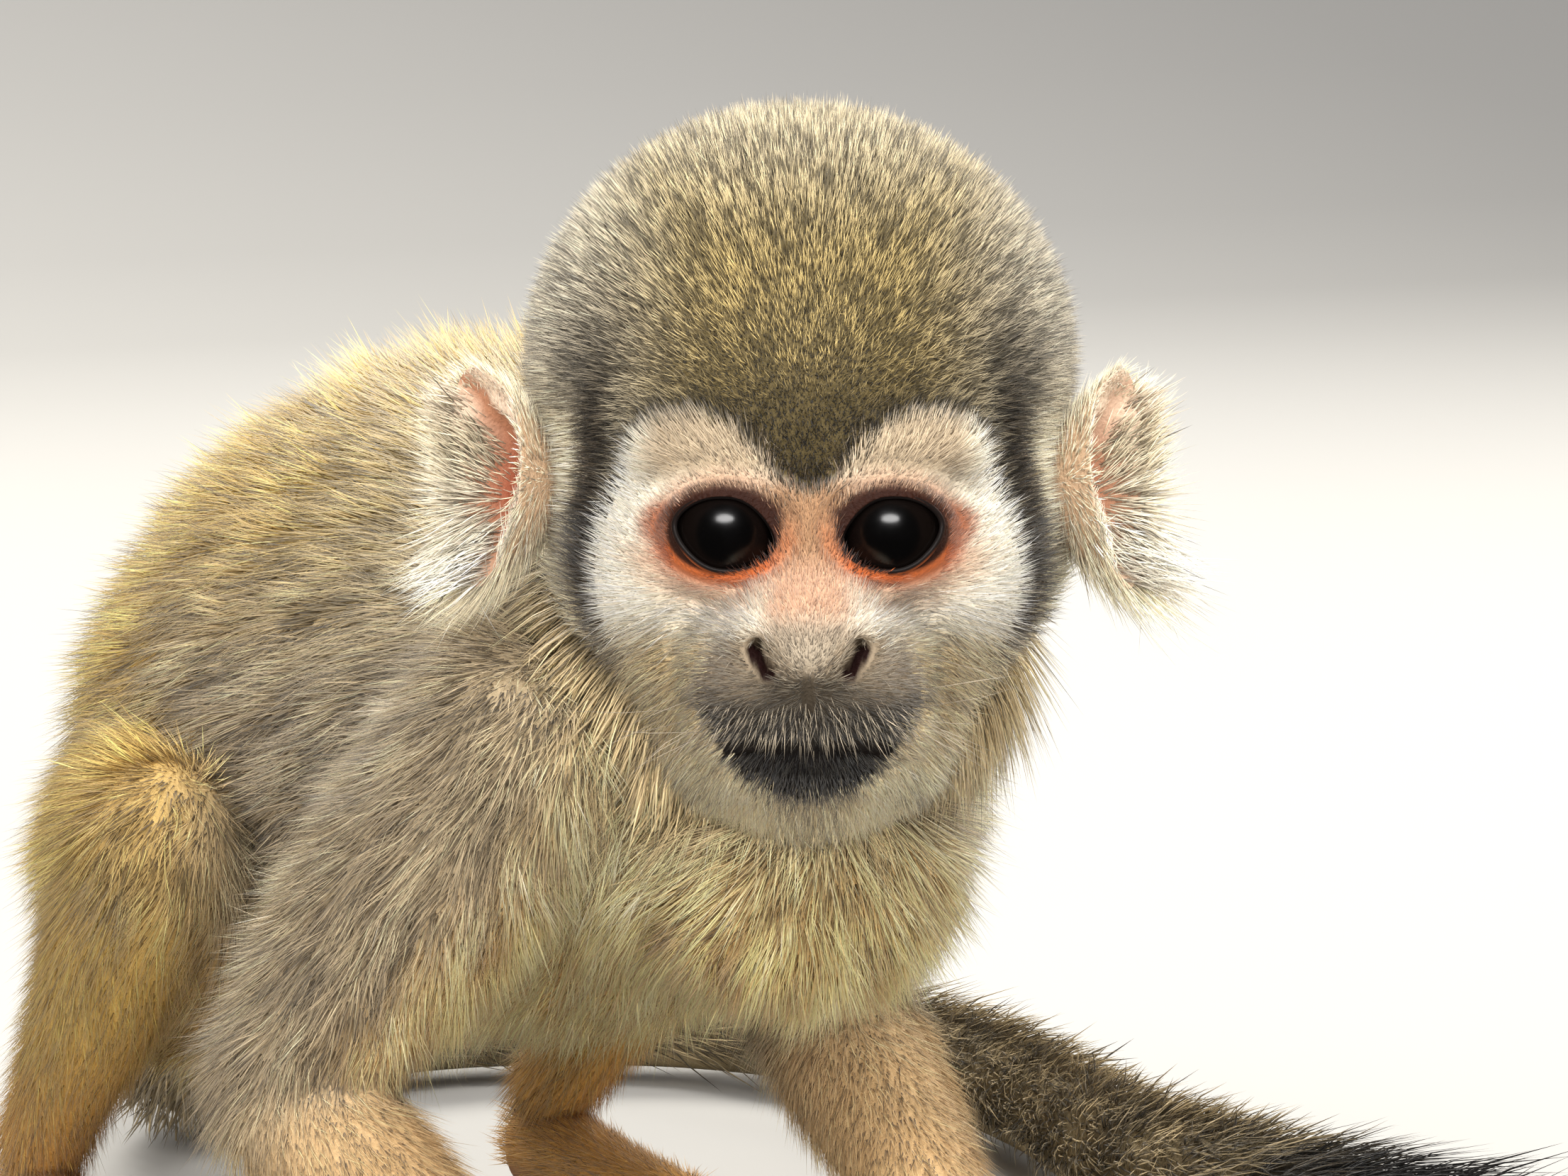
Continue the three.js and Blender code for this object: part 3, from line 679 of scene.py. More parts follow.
@dataclass
class HeadMarkings:
    """The head's colours and the size and lie of its hair, for points in the head's frame."""

    face: FaceMap = field(default_factory=FaceMap)

    def zones(self, p: Array) -> tuple[Array, Array, Array]:
        """How much a point is in the white mask, in the muzzle and in the cheek below the ear.

        Args:
            p: Points in the head's frame.

        Returns:
            Three shares from 0 to 1.
        """
        across, height, round_, depth = self.face.read(p)
        mask = ramp(self.face.pale(across, height, round_), -0.5, 0.9) * (depth < 20)
        muzzle = ramp(self.face.muzzle(across, height, depth), -0.8, 1.0)
        return mask, muzzle, ramp(height, 3, -10) * ramp(round_, 20, 28)

    def skin(self, p: Array) -> Array:
        """Colour of the skin and of the roots of the hair.

        Args:
            p: Points in the head's frame.

        Returns:
            Linear colours.
        """
        across, height, round_, depth = self.face.read(p)
        mask, muzzle, low = self.zones(p)
        crown = mix(mix(OLIVE * 0.45, GREY * 0.5, ramp(across, 12, 26)), DARK, 0.35)
        crown = mix(crown, GREY * 0.8, ramp(depth, 45, 62))
        side = mix(CHEEK, mix(CREAM, WHITE, 0.5), ramp(height, -12, -22))
        colour = mix(crown, side, low)
        colour = mix(colour, DARK * 0.8, self.temple(height, round_) * 0.9)
        colour = mix(colour, WHITE, self.before_ear(height, round_))
        cheeks = ramp(height, -6, -14) * ramp(across, 5, 13)
        face = mix(mix(WHITE, CHEEK, cheeks), CREAM, ramp(height, -23, -29))
        colour = mix(mix(colour, face, mask), self.bare(across, height), mask)
        middle = ramp(across, 9, 3) * ramp(height, -14, -17)
        tone = mix(MUZZLE_GREY, CHARCOAL, np.maximum(ramp(height, -15.5, -21), middle * 0.85))
        tone = mix(tone, BLACK, ramp(height, -22.5, -24.5))
        colour = mix(colour, tone, muzzle)
        colour = mix(colour, CREAM, ramp(height, -26, -33) * (1 - muzzle))
        return mix(colour, NOSTRIL_RED, ramp(self.face.nostril(across, height), 1.25, 0.8) * (depth < 0))

    def crown_band(self, across: Array, height: Array, depth: Array) -> Array:
        """Colour of the pale bands on the crown's hair.

        Args:
            across: Distance from the middle.
            height: Height on the face.
            depth: Depth behind the eyes.

        Returns:
            Linear colours: olive, greyer to the sides and the nape, and dark above the nose.
        """
        rim = np.maximum(ramp(across, 8, 27), 0.6 * ramp(height, 28, 46))
        band = mix(OLIVE, PALE_GREY * 0.92, rim) * (1 - 0.5 * ramp(height, 24, 8))[:, None]
        band = mix(band, PEAK_BROWN, ramp(height, 21, 10) * ramp(across, 19, 8) * 0.85)
        return mix(band, mix(GREY, OLIVE, 0.4) * 0.85, ramp(depth, 36, 60))

    def ragged(self, p: Array) -> Array:
        """How far hair strays over the edges of the markings, in millimetres."""
        across, height, round_, depth = self.face.read(p)
        muzzle = ramp(self.face.muzzle(across, height, depth), -2, 0)
        peak = ramp(across, 10, 5) * ramp(height, 2, 4) * ramp(height, 13, 9)
        return 0.4 + 0.45 * muzzle + 0.6 * peak + 0.5 * self.temple(height, round_)

    def coat(self, p: Array, seed: int) -> Array:
        """Colours of the hair from root to tip.

        Args:
            p: Roots in the head's frame.
            seed: Which hairs are dark.

        Returns:
            Three linear colours for each root.
        """
        draw = np.random.default_rng(seed)
        stray = self.ragged(p)[:, None]
        flecks = specks(p + draw.normal(size=p.shape) * 0.16, 0.75, seed)
        p = p + draw.normal(size=p.shape) * stray
        across, height, round_, depth = self.face.read(p)
        mask, muzzle, low = self.zones(p)
        crown = (1 - mask) * (1 - muzzle) * (1 - low)
        white = self.before_ear(height, round_)
        temple = self.temple(height, round_)
        tone = mix(self.skin(p), self.crown_band(across, height, depth), crown)
        tone = mix(tone, TEMPLE_BROWN, temple * 0.9)
        tone = mix(tone, mix(CREAM, WHITE, 0.4), white)
        dark = (0.62 + 0.28 * ramp(height, 26, 9)) * crown + (0.14 * low + 0.6 * temple) * (1 - mask)
        dark = dark + 0.34 * mask * ramp(height, -7, -13) * ramp(across, 8, 13)
        dark = dark * (0.1 + 1.9 * ramp(flecks, 0.42, 0.6))
        dark = dark + 0.4 * ramp(across, 5, 3) * ramp(height, -9, -12) * mask
        rows = ticked(tone, seed, dark * (1 - white) * (1 - muzzle), 1.32, 0.72)
        rows[:, 0] = mix(rows[:, 0], rows[:, 0] * 0.5, crown * (1 - white))
        tipped = muzzle * (0.12 + 0.5 * ramp(height, -22, -14)) * (draw.random(len(p)) < 0.45)
        rows[:, 2] = mix(rows[:, 2], PALE_GREY * 0.8, tipped)
        # the ruff's and the chin's roots keep their full tone, without the painted root shade
        ruff = ramp(height, -14, -22) * ramp(round_, 22, 30) + ramp(height, -30, -33)
        rows[:, 0] = mix(rows[:, 0], tone, np.minimum(ruff, 1))
        return rows

    def bare(self, across: Array, height: Array) -> Array:
        """Colour where skin shows: round the eyes and down the nose.

        Args:
            across: Distance from the middle.
            height: Height on the face.

        Returns:
            Linear colours that replace the pale coat's.
        """
        # painted shade: the beige above the eyes is partly the brow's own tone and partly the shade under the
        # brow's overhang
        base = mix(WHITE, SHADED_BROW, ramp(height, 3.5, 8) * ramp(across, 21, 16) * 0.9)
        base = mix(base, CHEEK, ramp(height, -8.5, -14.5) * ramp(across, 5, 13))
        base = mix(base, CREAM, ramp(height, -23, -29))
        eye = self.face.eye(across, height)
        between = ramp(across, 7.5, 3) * ramp(height, 7, 3) * ramp(height, -14, -8)
        under = ramp(eye, 2.6, 1.5) * ramp(height, 1, -3)
        near = ramp(eye, 1.9, 1.35) * 0.7
        colour = mix(base, PINK * 0.87, np.maximum(np.maximum(under * 0.75, between * 0.92), near))
        colour = mix(colour, TAN, ramp(across, 7, 3) * ramp(height, -6, -1) * ramp(height, 8, 4) * 0.9)
        colour = mix(colour, NOSE_GREY, ramp(across, 6.5, 3.5) * ramp(height, -8, -11.5) * 0.9)
        rust = ramp(eye, 1.7, 1.25) * (0.3 + 0.7 * ramp(height, 2, -2)) * (1 - 0.5 * ramp(across, 5, 2.5))
        tail = ramp(np.hypot((across - 15.6) / 3.6, (height - 1.0) / 2.8), 1.3, 0.5)
        ring = mix(RUST, TAN, ramp(height, 1, 3.5) * ramp(across, 15, 12))
        colour = mix(colour, ring, np.maximum(rust, tail * 0.8))
        # painted shadow: the dark crescent right above each eye is the shade under the fold of the brow, over
        # the lid's own brown
        shade = ramp(eye, 1.44, 1.2) * ramp(height, 0.2, 2.2)
        colour = mix(colour, UMBER, np.maximum(shade * 0.95, tail * 0.4))
        return mix(colour, UMBER * 0.6, ramp(eye, 1.22, 1.1))

    def temple(self, height: Array, round_: Array) -> Array:
        """How strong the dark band in front of the ear is."""
        high = ramp(height, -4, 18)
        band = ramp(round_, 24.2, 26) * ramp(round_, 33 + 9 * high, 30 + 3 * high)
        return band * ramp(height, 32, 11) * ramp(height, -20, -6)

    def before_ear(self, height: Array, round_: Array) -> Array:
        """How white the hair is just before the ear and below it."""
        return ramp(round_, 31, 33.5) * ramp(round_, 56, 44) * ramp(height, 22, 9)


# ---------------------------------------------------------------- the body's form

CAP_ROWS = 6  # rows of faces in a tube's round end
TIP_FROM = 0.83  # where along the tail its black tip begins


@dataclass(frozen=True)
class Tube:
    """A length of the body's form."""

    name: str
    stations: tuple[tuple[float, ...], ...]  # [x, y, z, half width, half height]
    depth: float  # of the coat that lies over the skin
    side: Triple = (1, 0, 0)
    bulge: float = 0.8
    hair: float = 12.0  # length of the hair
    density: float = 2.5  # tufts on each square millimetre
    around: int = 32
    rows: int = 24

    def frame_at(self, t: Array) -> tuple[Array, Array, Array, Array, Array]:
        """Middle, half sizes and directions at places along the tube.

        Args:
            t: Places from 0 to 1.

        Returns:
            The middle, the half sizes, and the directions along, across and up.
        """
        table = np.array(self.stations, float)
        row = route(table, t)
        ahead, behind = route(table, t + 1e-4), route(table, t - 1e-4)
        along = unit(ahead[:, :3] - behind[:, :3])
        side = np.array(self.side, float)
        across = unit(side - along * (along @ side)[:, None])
        return row[:, :3], row[:, 3:5], along, across, np.cross(along, across)

    def outline(self, u: Array, v: Array) -> Array:
        """Points of the closed skin, with a round cap on each end.

        Args:
            u: Turn round the tube, 0 to 1.
            v: Way along it with its caps, 0 to 1.

        Returns:
            The points in the animal's frame.
        """
        total = CAP_ROWS * 2 + self.rows
        ring = np.round(v * total)
        t = np.clip((ring - CAP_ROWS) / self.rows, 0, 1)
        start, end = ring < CAP_ROWS, ring > CAP_ROWS + self.rows
        angle = np.where(start, ring, np.where(end, total - ring, CAP_ROWS)) / CAP_ROWS * (np.pi / 2)
        push = np.cos(angle) * np.where(start, -1, np.where(end, 1, 0))
        middle, size, along, across, up = self.frame_at(t)
        size = np.maximum(size - self.depth, 1.0)
        turn = u * 2 * np.pi
        shrink = np.sin(angle)
        return (
            middle
            + along * (push * self.bulge * size.min(axis=1))[:, None]
            + across * (np.cos(turn) * size[:, 0] * shrink)[:, None]
            + up * (np.sin(turn) * size[:, 1] * shrink)[:, None]
        )


def between(a: Triple, b: Triple, share: float) -> Triple:
    """The point a share of the way from a to b."""
    return tuple(p + (q - p) * share for p, q in zip(a, b))


def limb(name: str, start: Triple, end: Triple, rows: tuple, **kind: object) -> Tube:
    """A straight length of limb.

    Args:
        name: The tube's name.
        start: The upper joint.
        end: The lower joint.
        rows: [share of the length, half width, half height].
        **kind: The tube's other values.

    Returns:
        The tube.
    """
    stations = tuple((*between(start, end, share), w, h) for share, w, h in rows)
    return Tube(name, stations, **kind)


@dataclass(frozen=True)
class Paw:
    """A hand's or foot's sizes."""

    digit: float  # length of the middle digits
    radius: float
    pitch: float  # from one digit's root to the next
    spread: float  # angle between neighbours
    level: float  # height of the digits' roots
    thumb_aside: float
    thumb_behind: float
    thumb_angle: float
    thumb_length: float
    thumb_radius: float


HAND = Paw(17, 2.5, 4.3, 0.17, 3, 6, 11, 0.85, 12, 2.4)
FOOT = Paw(18, 2.6, 4.1, 0.14, 3, 5, 14, 0.75, 16, 2.8)
# [shoulder, elbow, wrist]
ARMS = {
    "right": ((-27, 16, 84), (-48, 42, 38), (-40, -12, 12)),
    "left": ((20, 20, 84), (30, 50, 42), (24, -2, 12)),
}
# [hip, knee, ankle, roots of the toes]
LEGS = {
    "right": ((-18, 124, 50), (-43, 84, 62), (-38, 132, 15), (-42, 84, 7)),
    "left": ((18, 124, 50), (43, 84, 62), (38, 134, 15), (41, 86, 7)),
}
TRUNK = Tube(
    "trunk",
    (
        (0, 0, 66, 22, 20), (0, 14, 74, 31, 32), (0, 36, 80, 36, 42), (0, 66, 80, 38, 45),
        (0, 94, 75, 39, 45), (0, 119, 64, 38, 40), (0, 138, 51, 32, 31),
    ),
    depth=4.2, hair=7.6, density=2.85, around=48, rows=40,
)
NECK = Tube(
    "neck",
    ((0, 32, 84, 29, 27), (-1, 15, 90, 31, 29), (-3, -1, 94, 31, 26), (-6, -11, 97, 26, 21)),
    depth=6.5, side=(0.92, -0.38, 0), bulge=0.6, hair=14, density=4.5, around=40, rows=16,
)
TAIL = Tube(
    "tail",
    tuple(
        (x, y, z or r - 2.9, r, r)
        for x, y, r, z in (
            (0, 138, 14, 46), (2, 166, 13.5, 29), (12, 191, 12.4, 13), (34, 213, 11.6, 0),
            (68, 219, 11.3, 0), (98, 202, 11.2, 0), (112, 166, 11, 0), (108, 124, 11, 0),
            (98, 86, 11.3, 0), (95, 50, 11.9, 0), (102, 18, 10.5, 0), (114, -2, 5.5, 0),
        )
    ),
    depth=4.4, side=(0, 0, 1), bulge=1.2, hair=12, density=1.45, around=24, rows=110,
)


def body_tubes() -> list[Tube]:
    """Every length of the body, limbs and tail."""
    tubes = [TRUNK, NECK, TAIL]
    for side in ("right", "left"):
        shoulder, elbow, wrist = ARMS[side]
        hip, knee, ankle, _ = LEGS[side]
        tubes += [
            limb(
                f"upper_arm_{side}", shoulder, elbow,
                ((0, 19, 16), (0.35, 19, 16), (0.7, 16, 14.5), (1, 12.5, 12)),
                depth=3.4, side=(0.2, 1, 0.3), hair=7, density=3.8,
            ),
            limb(
                f"forearm_{side}", elbow, wrist,
                ((0, 10.5, 10.5), (0.3, 11.5, 11), (0.75, 8.5, 8), (1, 6.8, 6.2)),
                depth=2.0, side=(1, 0, 0), hair=5.5, density=3.2,
            ),
            limb(
                f"thigh_{side}", hip, knee,
                ((0, 27, 23), (0.4, 24, 20), (0.75, 18, 16), (1, 13.5, 13)),
                depth=3.8, side=(0, 0.3, 1), hair=7.6, density=3.2,
            ),
            limb(
                f"shank_{side}", knee, ankle,
                ((0, 10.5, 10.5), (0.3, 12, 11.2), (0.8, 9, 8), (1, 8, 7.5)),
                depth=2.2, side=(0, 1, 0.6), hair=6, density=3.0,
            ),
        ]
    return tubes


@dataclass
class PawPlan:
    """One hand or foot: its palm or sole and its five digits."""

    name: str
    palm: tuple[tuple[float, ...], ...]  # stations
    root: Pair  # where the middle digits start
    out: int  # +1 on the left side
    paw: Paw

    def digits(self) -> list[Tube]:
        """The four digits in a fan and the thumb, each arched down to the floor."""
        x, y = self.root
        paw, out = self.paw, self.out
        plans = [
            ((x + i * paw.pitch, y + abs(i), paw.level), -i * paw.spread,
             paw.digit - abs(i + out * 0.3) * 1.6, paw.radius)
            for i in (-1.5, -0.5, 0.5, 1.5)
        ]
        plans.append((
            (x - out * paw.thumb_aside, y + paw.thumb_behind, paw.level + 0.3),
            out * paw.thumb_angle, paw.thumb_length, paw.thumb_radius,
        ))
        # [share of the length, rise, share of the radius]: two joints swell, and the tip is a round pad
        profile = (
            (0, 0, 0.95), (0.18, 0.5, 0.9), (0.4, 0.8, 1), (0.55, 0.5, 0.82),
            (0.72, 0, 0.9), (0.86, -0.7, 0.72), (1, -1.5, 0.66),
        )
        return [
            Tube(
                f"{self.name}_digit_{i}",
                tuple(
                    (
                        x - math.sin(angle) * length * share, y - math.cos(angle) * length * share,
                        z + rise - 0.25, radius * size, radius * size,
                    )
                    for share, rise, size in profile
                ),
                depth=0.3, around=18, rows=30,
            )
            for i, ((x, y, z), angle, length, radius) in enumerate(plans)
        ]

    def tubes(self) -> list[Tube]:
        """The palm and the digits."""
        return [Tube(f"{self.name}_palm", self.palm, depth=0.5, around=28, rows=24), *self.digits()]


def paw_plans() -> list[PawPlan]:
    """Both hands and both feet."""
    plans = []
    for sign, side in SIDES.items():
        x, y, z = ARMS[side][2]
        palm = ((x, y + 5, z + 1, 5.6, 5.2), (x, y - 6, z - 4, 6.9, 5), (x, y - 17, 3.5, 8.2, 3.7))
        plans.append(PawPlan(f"hand_{side}", palm, (x, y - 17), sign, HAND))
        _, _, ankle, toes = LEGS[side]
        (hx, hy, _), (tx, ty, _) = ankle, toes
        sole = (
            (hx, hy + 2.4, 7.4, 5.8, 7.5),
            (hx + (tx - hx) * 0.4, hy + (ty - hy) * 0.4, 5, 6.4, 5.2),
            (tx, ty, 3.5, 7.8, 3.8),
        )
        plans.append(PawPlan(f"foot_{side}", sole, (tx, ty), sign, FOOT))
    return plans


@dataclass
class BodyMarkings:
    """The body's colours and the lie of its hair, for points in the animal's own frame."""

    tubes: list[Tube]
    samples: int = 40
    names: list[str] = field(init=False)
    middles: Array = field(init=False)
    sizes: Array = field(init=False)
    alongs: Array = field(init=False)

    def __post_init__(self) -> None:
        """Sample each tube's middle line."""
        t = np.linspace(0, 1, self.samples)
        frames = [tube.frame_at(t) for tube in self.tubes]
        self.middles = np.array([f[0] for f in frames])
        self.sizes = np.array([f[1].mean(axis=1) for f in frames])
        self.alongs = np.array([f[2] for f in frames])
        self.names = [tube.name for tube in self.tubes]

    def near(self, p: Array) -> tuple[Array, Array, Array]:
        """Which lengths of the body a point belongs to.

        Args:
            p: Points in the animal's frame.

        Returns:
            The weight of each tube, its direction at its nearest place, and how far along that is.
        """
        weights, ways, shares = [], [], []
        for middles, sizes, alongs in zip(self.middles, self.sizes, self.alongs):
            gaps = np.linalg.norm(p[:, None] - middles[None], axis=2) / sizes
            nearest = gaps.argmin(axis=1)
            close = gaps[np.arange(len(p)), nearest]
            weights.append(1 / np.maximum(close, 0.3) ** 8)
            ways.append(alongs[nearest])
            shares.append(nearest / (self.samples - 1))
        weight = np.array(weights)
        return weight / weight.sum(axis=0), np.array(ways), np.array(shares)

    def rows(self, word: str) -> list[int]:
        """Which tubes have a word in their name."""
        return [i for i, name in enumerate(self.names) if word in name]

    def part(self, weight: Array, *words: str) -> Array:
        """Total weight of the tubes whose names hold the words."""
        return sum(weight[self.rows(word)].sum(axis=0) for word in words)

    def colour(self, p: Array, normal: Array) -> Array:
        """Colour of the skin and the coat.

        Args:
            p: Points in the animal's frame.
            normal: The surface's direction there.

        Returns:
            Linear colours.
        """
        weight, _, share = self.near(p)
        up = normal[:, 2]
        y = p[:, 1]
        mottle = sway(p, 16, 4)
        grey = mix(mix(GREY, OLIVE, 0.15), DARK, 0.04 + 0.1 * mottle)
        golden = mix(GOLD, OLIVE, ramp(y, 110, 30))
        rear = ramp(y, 84, 116)
        back = mix(grey, golden, np.maximum(ramp(up, -0.05, 0.6) * (0.35 + 0.65 * ramp(y, 20, 75)), rear))
        belly = mix(CREAM, BUFF, ramp(p[:, 2], 74, 50))
        trunk = mix(back, belly, ramp(up, -0.25, -0.65))
        half = 28 + 0.5 * np.maximum(72 - p[:, 2], 0) + 3 * mottle
        breast = ramp(np.abs(p[:, 0] + 3) - half, 6, -6) * ramp(y, 30, 14) * ramp(up, 0.6, 0.2)
        breast_tone = mix(mix(CREAM, BUFF, 0.45), BUFF, ramp(p[:, 2], 78, 58))
        trunk = mix(trunk, breast_tone, breast)
        nape = mix(mix(grey, OLIVE, 0.3), PALE_GREY, ramp(y, 25, 5))
        ruff = mix(nape, mix(CREAM, BUFF, 0.3) * 0.78, ramp(up, 0.75, 0.35) * ramp(y, 26, 2))
        arm = mix(mix(grey, BUFF, ramp(up, -0.1, -0.7) * 0.6), breast_tone, breast * ramp(p[:, 2], 36, 52))
        outside = ramp(0.866 * np.abs(p[:, 0]) + 0.5 * y, 68, 80)
        thigh = mix(grey, GOLD, (0.7 + 0.15 * mottle) * outside)
        shank = mix(ORANGE, mix(grey, GOLD, 0.25 + 0.7 * outside), ramp(p[:, 2], 10, 40))
        forearm = mix(arm, ORANGE, ramp(share[self.rows("forearm")].min(axis=0), 0.0, 0.75))
        tail_share = share[self.rows("tail")[0]]
        tail = mix(mix(GREY, OLIVE, 0.5), DARK, 0.45 + 0.15 * mottle)
        tail = mix(tail, BLACK, ramp(tail_share, 0.79, 0.86))
        tones = {
            "trunk": trunk, "neck": ruff, "upper_arm": arm, "forearm": forearm,
            "thigh": thigh, "shank": shank, "tail": tail,
        }
        return sum(tone * self.part(weight, word)[:, None] for word, tone in tones.items())

    def lie(self, p: Array, normal: Array) -> Array:
        """Which way the hair lies.

        Args:
            p: Points in the animal's frame.
            normal: The surface's direction there.

        Returns:
            Unit vectors along the surface.
        """
        weight, ways, _ = self.near(p)
        ways[self.rows("neck")] *= -0.5
        ways[self.rows("thigh")] *= 0.25
        drift = np.einsum("tn,tnk->nk", weight, ways)
        front = ramp(p[:, 1], 36, 6) * self.part(weight, "neck", "trunk")
        limbs = self.part(weight, "thigh", "shank", "arm")
        drift[:, 0] += 0.65 * np.sign(p[:, 0]) * self.part(weight, "thigh")
        drift[:, 2] -= front * 1.1 + 0.4 * self.part(weight, "trunk") + 0.9 * limbs
        return along_surface(drift, normal)

    def hair(self, p: Array) -> Array:
        """How long the hair is."""
        weight, _, share = self.near(p)
        lengths = np.array([tube.hair for tube in self.tubes])
        length = lengths @ weight - 5.5 * self.part(weight, "neck") * ramp(p[:, 1], 12, 32)
        return length + 8 * self.part(weight, "tail") * ramp(share[self.rows("tail")[0]], 0.8, 0.93)


def along_surface(vectors: Array, normal: Array) -> Array:
    """Turn directions into the surface of the given unit normals, at length 1."""
    flat = vectors - normal * np.sum(vectors * normal, axis=1, keepdims=True)
    return unit(flat)


# ---------------------------------------------------------------- the head's hair plan


@dataclass
class HeadHair:
    """How long and steep the hair of the head is, and which way it lies."""

    marks: HeadMarkings
    source: Triple = (0, -13, -12)  # the hair lies away from here
    crown_steep: float = math.radians(52)

    def length(self, p: Array) -> Array:
        """Length of the hair in millimetres at points of the head's frame."""
        face = self.marks.face
        across, height, round_, depth = face.read(p)
        pale = ramp(face.pale(across, height, round_), -2.5, 2.0) * ramp(depth, 24, 14)
        eye = face.eye(across, height)
        length = mix(2.9, 8.0, ramp(depth, 42, 66))
        low = ramp(height, 4, -10)
        length = mix(length, 6.0, low * ramp(round_, 22, 28))
        length = mix(length, 11.0, low * ramp(round_, 28, 42) * ramp(round_, 75, 60))
        length = mix(length, 3.4, self.marks.before_ear(height, round_) * ramp(round_, 42, 38) * (1 - low))
        length = mix(length, 3.2, pale)
        length = mix(length, 5.2, ramp(height, -6, -15) * ramp(across, 9, 17) * pale)
        length = mix(length, 1.3, ramp(eye, 2.0, 1.3) * (depth < 14))
        bridge = ramp(across, 7, 4) * ramp(height, 7, 3) * ramp(height, -18, -14)
        length = mix(length, 1.6, bridge * (depth < 8))
        length = mix(length, 2.0, ramp(face.muzzle(across, height, depth), -1.4, 0.6))
        length = mix(length, 4.2, ramp(height, -29.5, -31.5) * ramp(across, 14, 10))
        return mix(length, 9.5, ramp(height, -31, -36) * ramp(depth, -9, 2))

    def lift(self, length: Array) -> Array:
        """How steeply hair of a length stands, in radians."""
        return np.radians(np.interp(length, (1, 2.5, 6, 9, 12), (26, 22, 24, 25, 27)))

    def steep(self, p: Array) -> Array:
        """How much steeper hair stands on the crown than its length says, in radians."""
        face = self.marks.face
        across, height, round_, depth = face.read(p)
        pale = ramp(face.pale(across, height, round_), -2.5, 1.0) * ramp(depth, 24, 14)
        return self.crown_steep * (1 - pale) * ramp(height, -4, 4) * ramp(depth, 70, 50)

    def depth(self, p: Array) -> Array:
        """How deep the coat is over the skin."""
        length = self.length(p)
        share = np.interp(length, (4, 11), (0.75, 0.5))
        return np.maximum(share * length * np.sin(self.lift(length) + self.steep(p)), 0.12)

    def lie(self, p: Array, normal: Array) -> Array:
        """Which way the hair lies: away from the nose, over the crown and down the nape."""
        _, height, _, depth = self.marks.face.read(p)
        way = unit(p - np.array(self.source))
        way = mix(way, np.array([0, 0.35, -1.0]), ramp(depth, 30, 58))
        way[:, 2] -= 0.55 * ramp(height, -4, -16) * ramp(depth, -12, 2)
        return along_surface(way, normal)


# ---------------------------------------------------------------- tufts

RING_WIDTHS = (0.8, 1.0, 0.8)  # of a tuft, as shares of its width, from the root
HAIR_CLEAR = 0.2 * MM  # how far above the floor hair stays
PATCH = 0.003  # side of a tuft's place on the unwrap


@dataclass
class Ground:
    """A skin as a place to root hair."""

    piece: Object
    corners: Array = field(init=False)
    normals: Array = field(init=False)
    sheet: Array = field(init=False)  # places on the unwrap
    areas: Array = field(init=False)  # in square millimetres
    centres: Array = field(init=False)

    def __post_init__(self) -> None:
        """Read the skin's triangles, its directions and its unwrap."""
        mesh = self.piece.data
        mesh.calc_loop_triangles()
        vertices, loops = np.empty((2, len(mesh.loop_triangles) * 3), np.int32)
        mesh.loop_triangles.foreach_get("vertices", vertices)
        mesh.loop_triangles.foreach_get("loops", loops)
        sheet = np.empty(len(mesh.loops) * 2)
        mesh.uv_layers.active.data.foreach_get("uv", sheet)
        self.corners = points_of(self.piece)[vertices.reshape(-1, 3)]
        self.normals = normals_of(self.piece)[vertices.reshape(-1, 3)]
        self.sheet = sheet.reshape(-1, 2)[loops.reshape(-1, 3)]
        a, b, c = self.corners.transpose(1, 0, 2)
        self.areas = np.linalg.norm(np.cross(b - a, c - a), axis=1) / 2 / MM**2
        self.centres = self.corners.mean(axis=1)

    def scatter(self, density: Array, seed: int) -> tuple[Array, Array, Array]:
        """Spread roots evenly over the skin.

        Args:
            density: Roots on each square millimetre, for each triangle.
            seed: Which spread.

        Returns:
            The roots in metres, the directions out and the places on the unwrap.
        """
        draw = np.random.default_rng(seed)
        reach = np.cumsum(self.areas * density)
        count = int(reach[-1])
        marks = (np.arange(count) + draw.random(count)) * reach[-1] / count
        chosen = np.minimum(np.searchsorted(reach, marks), len(reach) - 1)
        a, b = draw.random((2, count))
        fold = a + b > 1
        a, b = np.where(fold, 1 - a, a), np.where(fold, 1 - b, b)
        share = np.stack([1 - a - b, a, b], axis=1)[:, :, None]
        root = (self.corners[chosen] * share).sum(axis=1)
        normal = unit((self.normals[chosen] * share).sum(axis=1))
        sheet = (self.sheet[chosen] * share).sum(axis=1)
        return root, normal, sheet


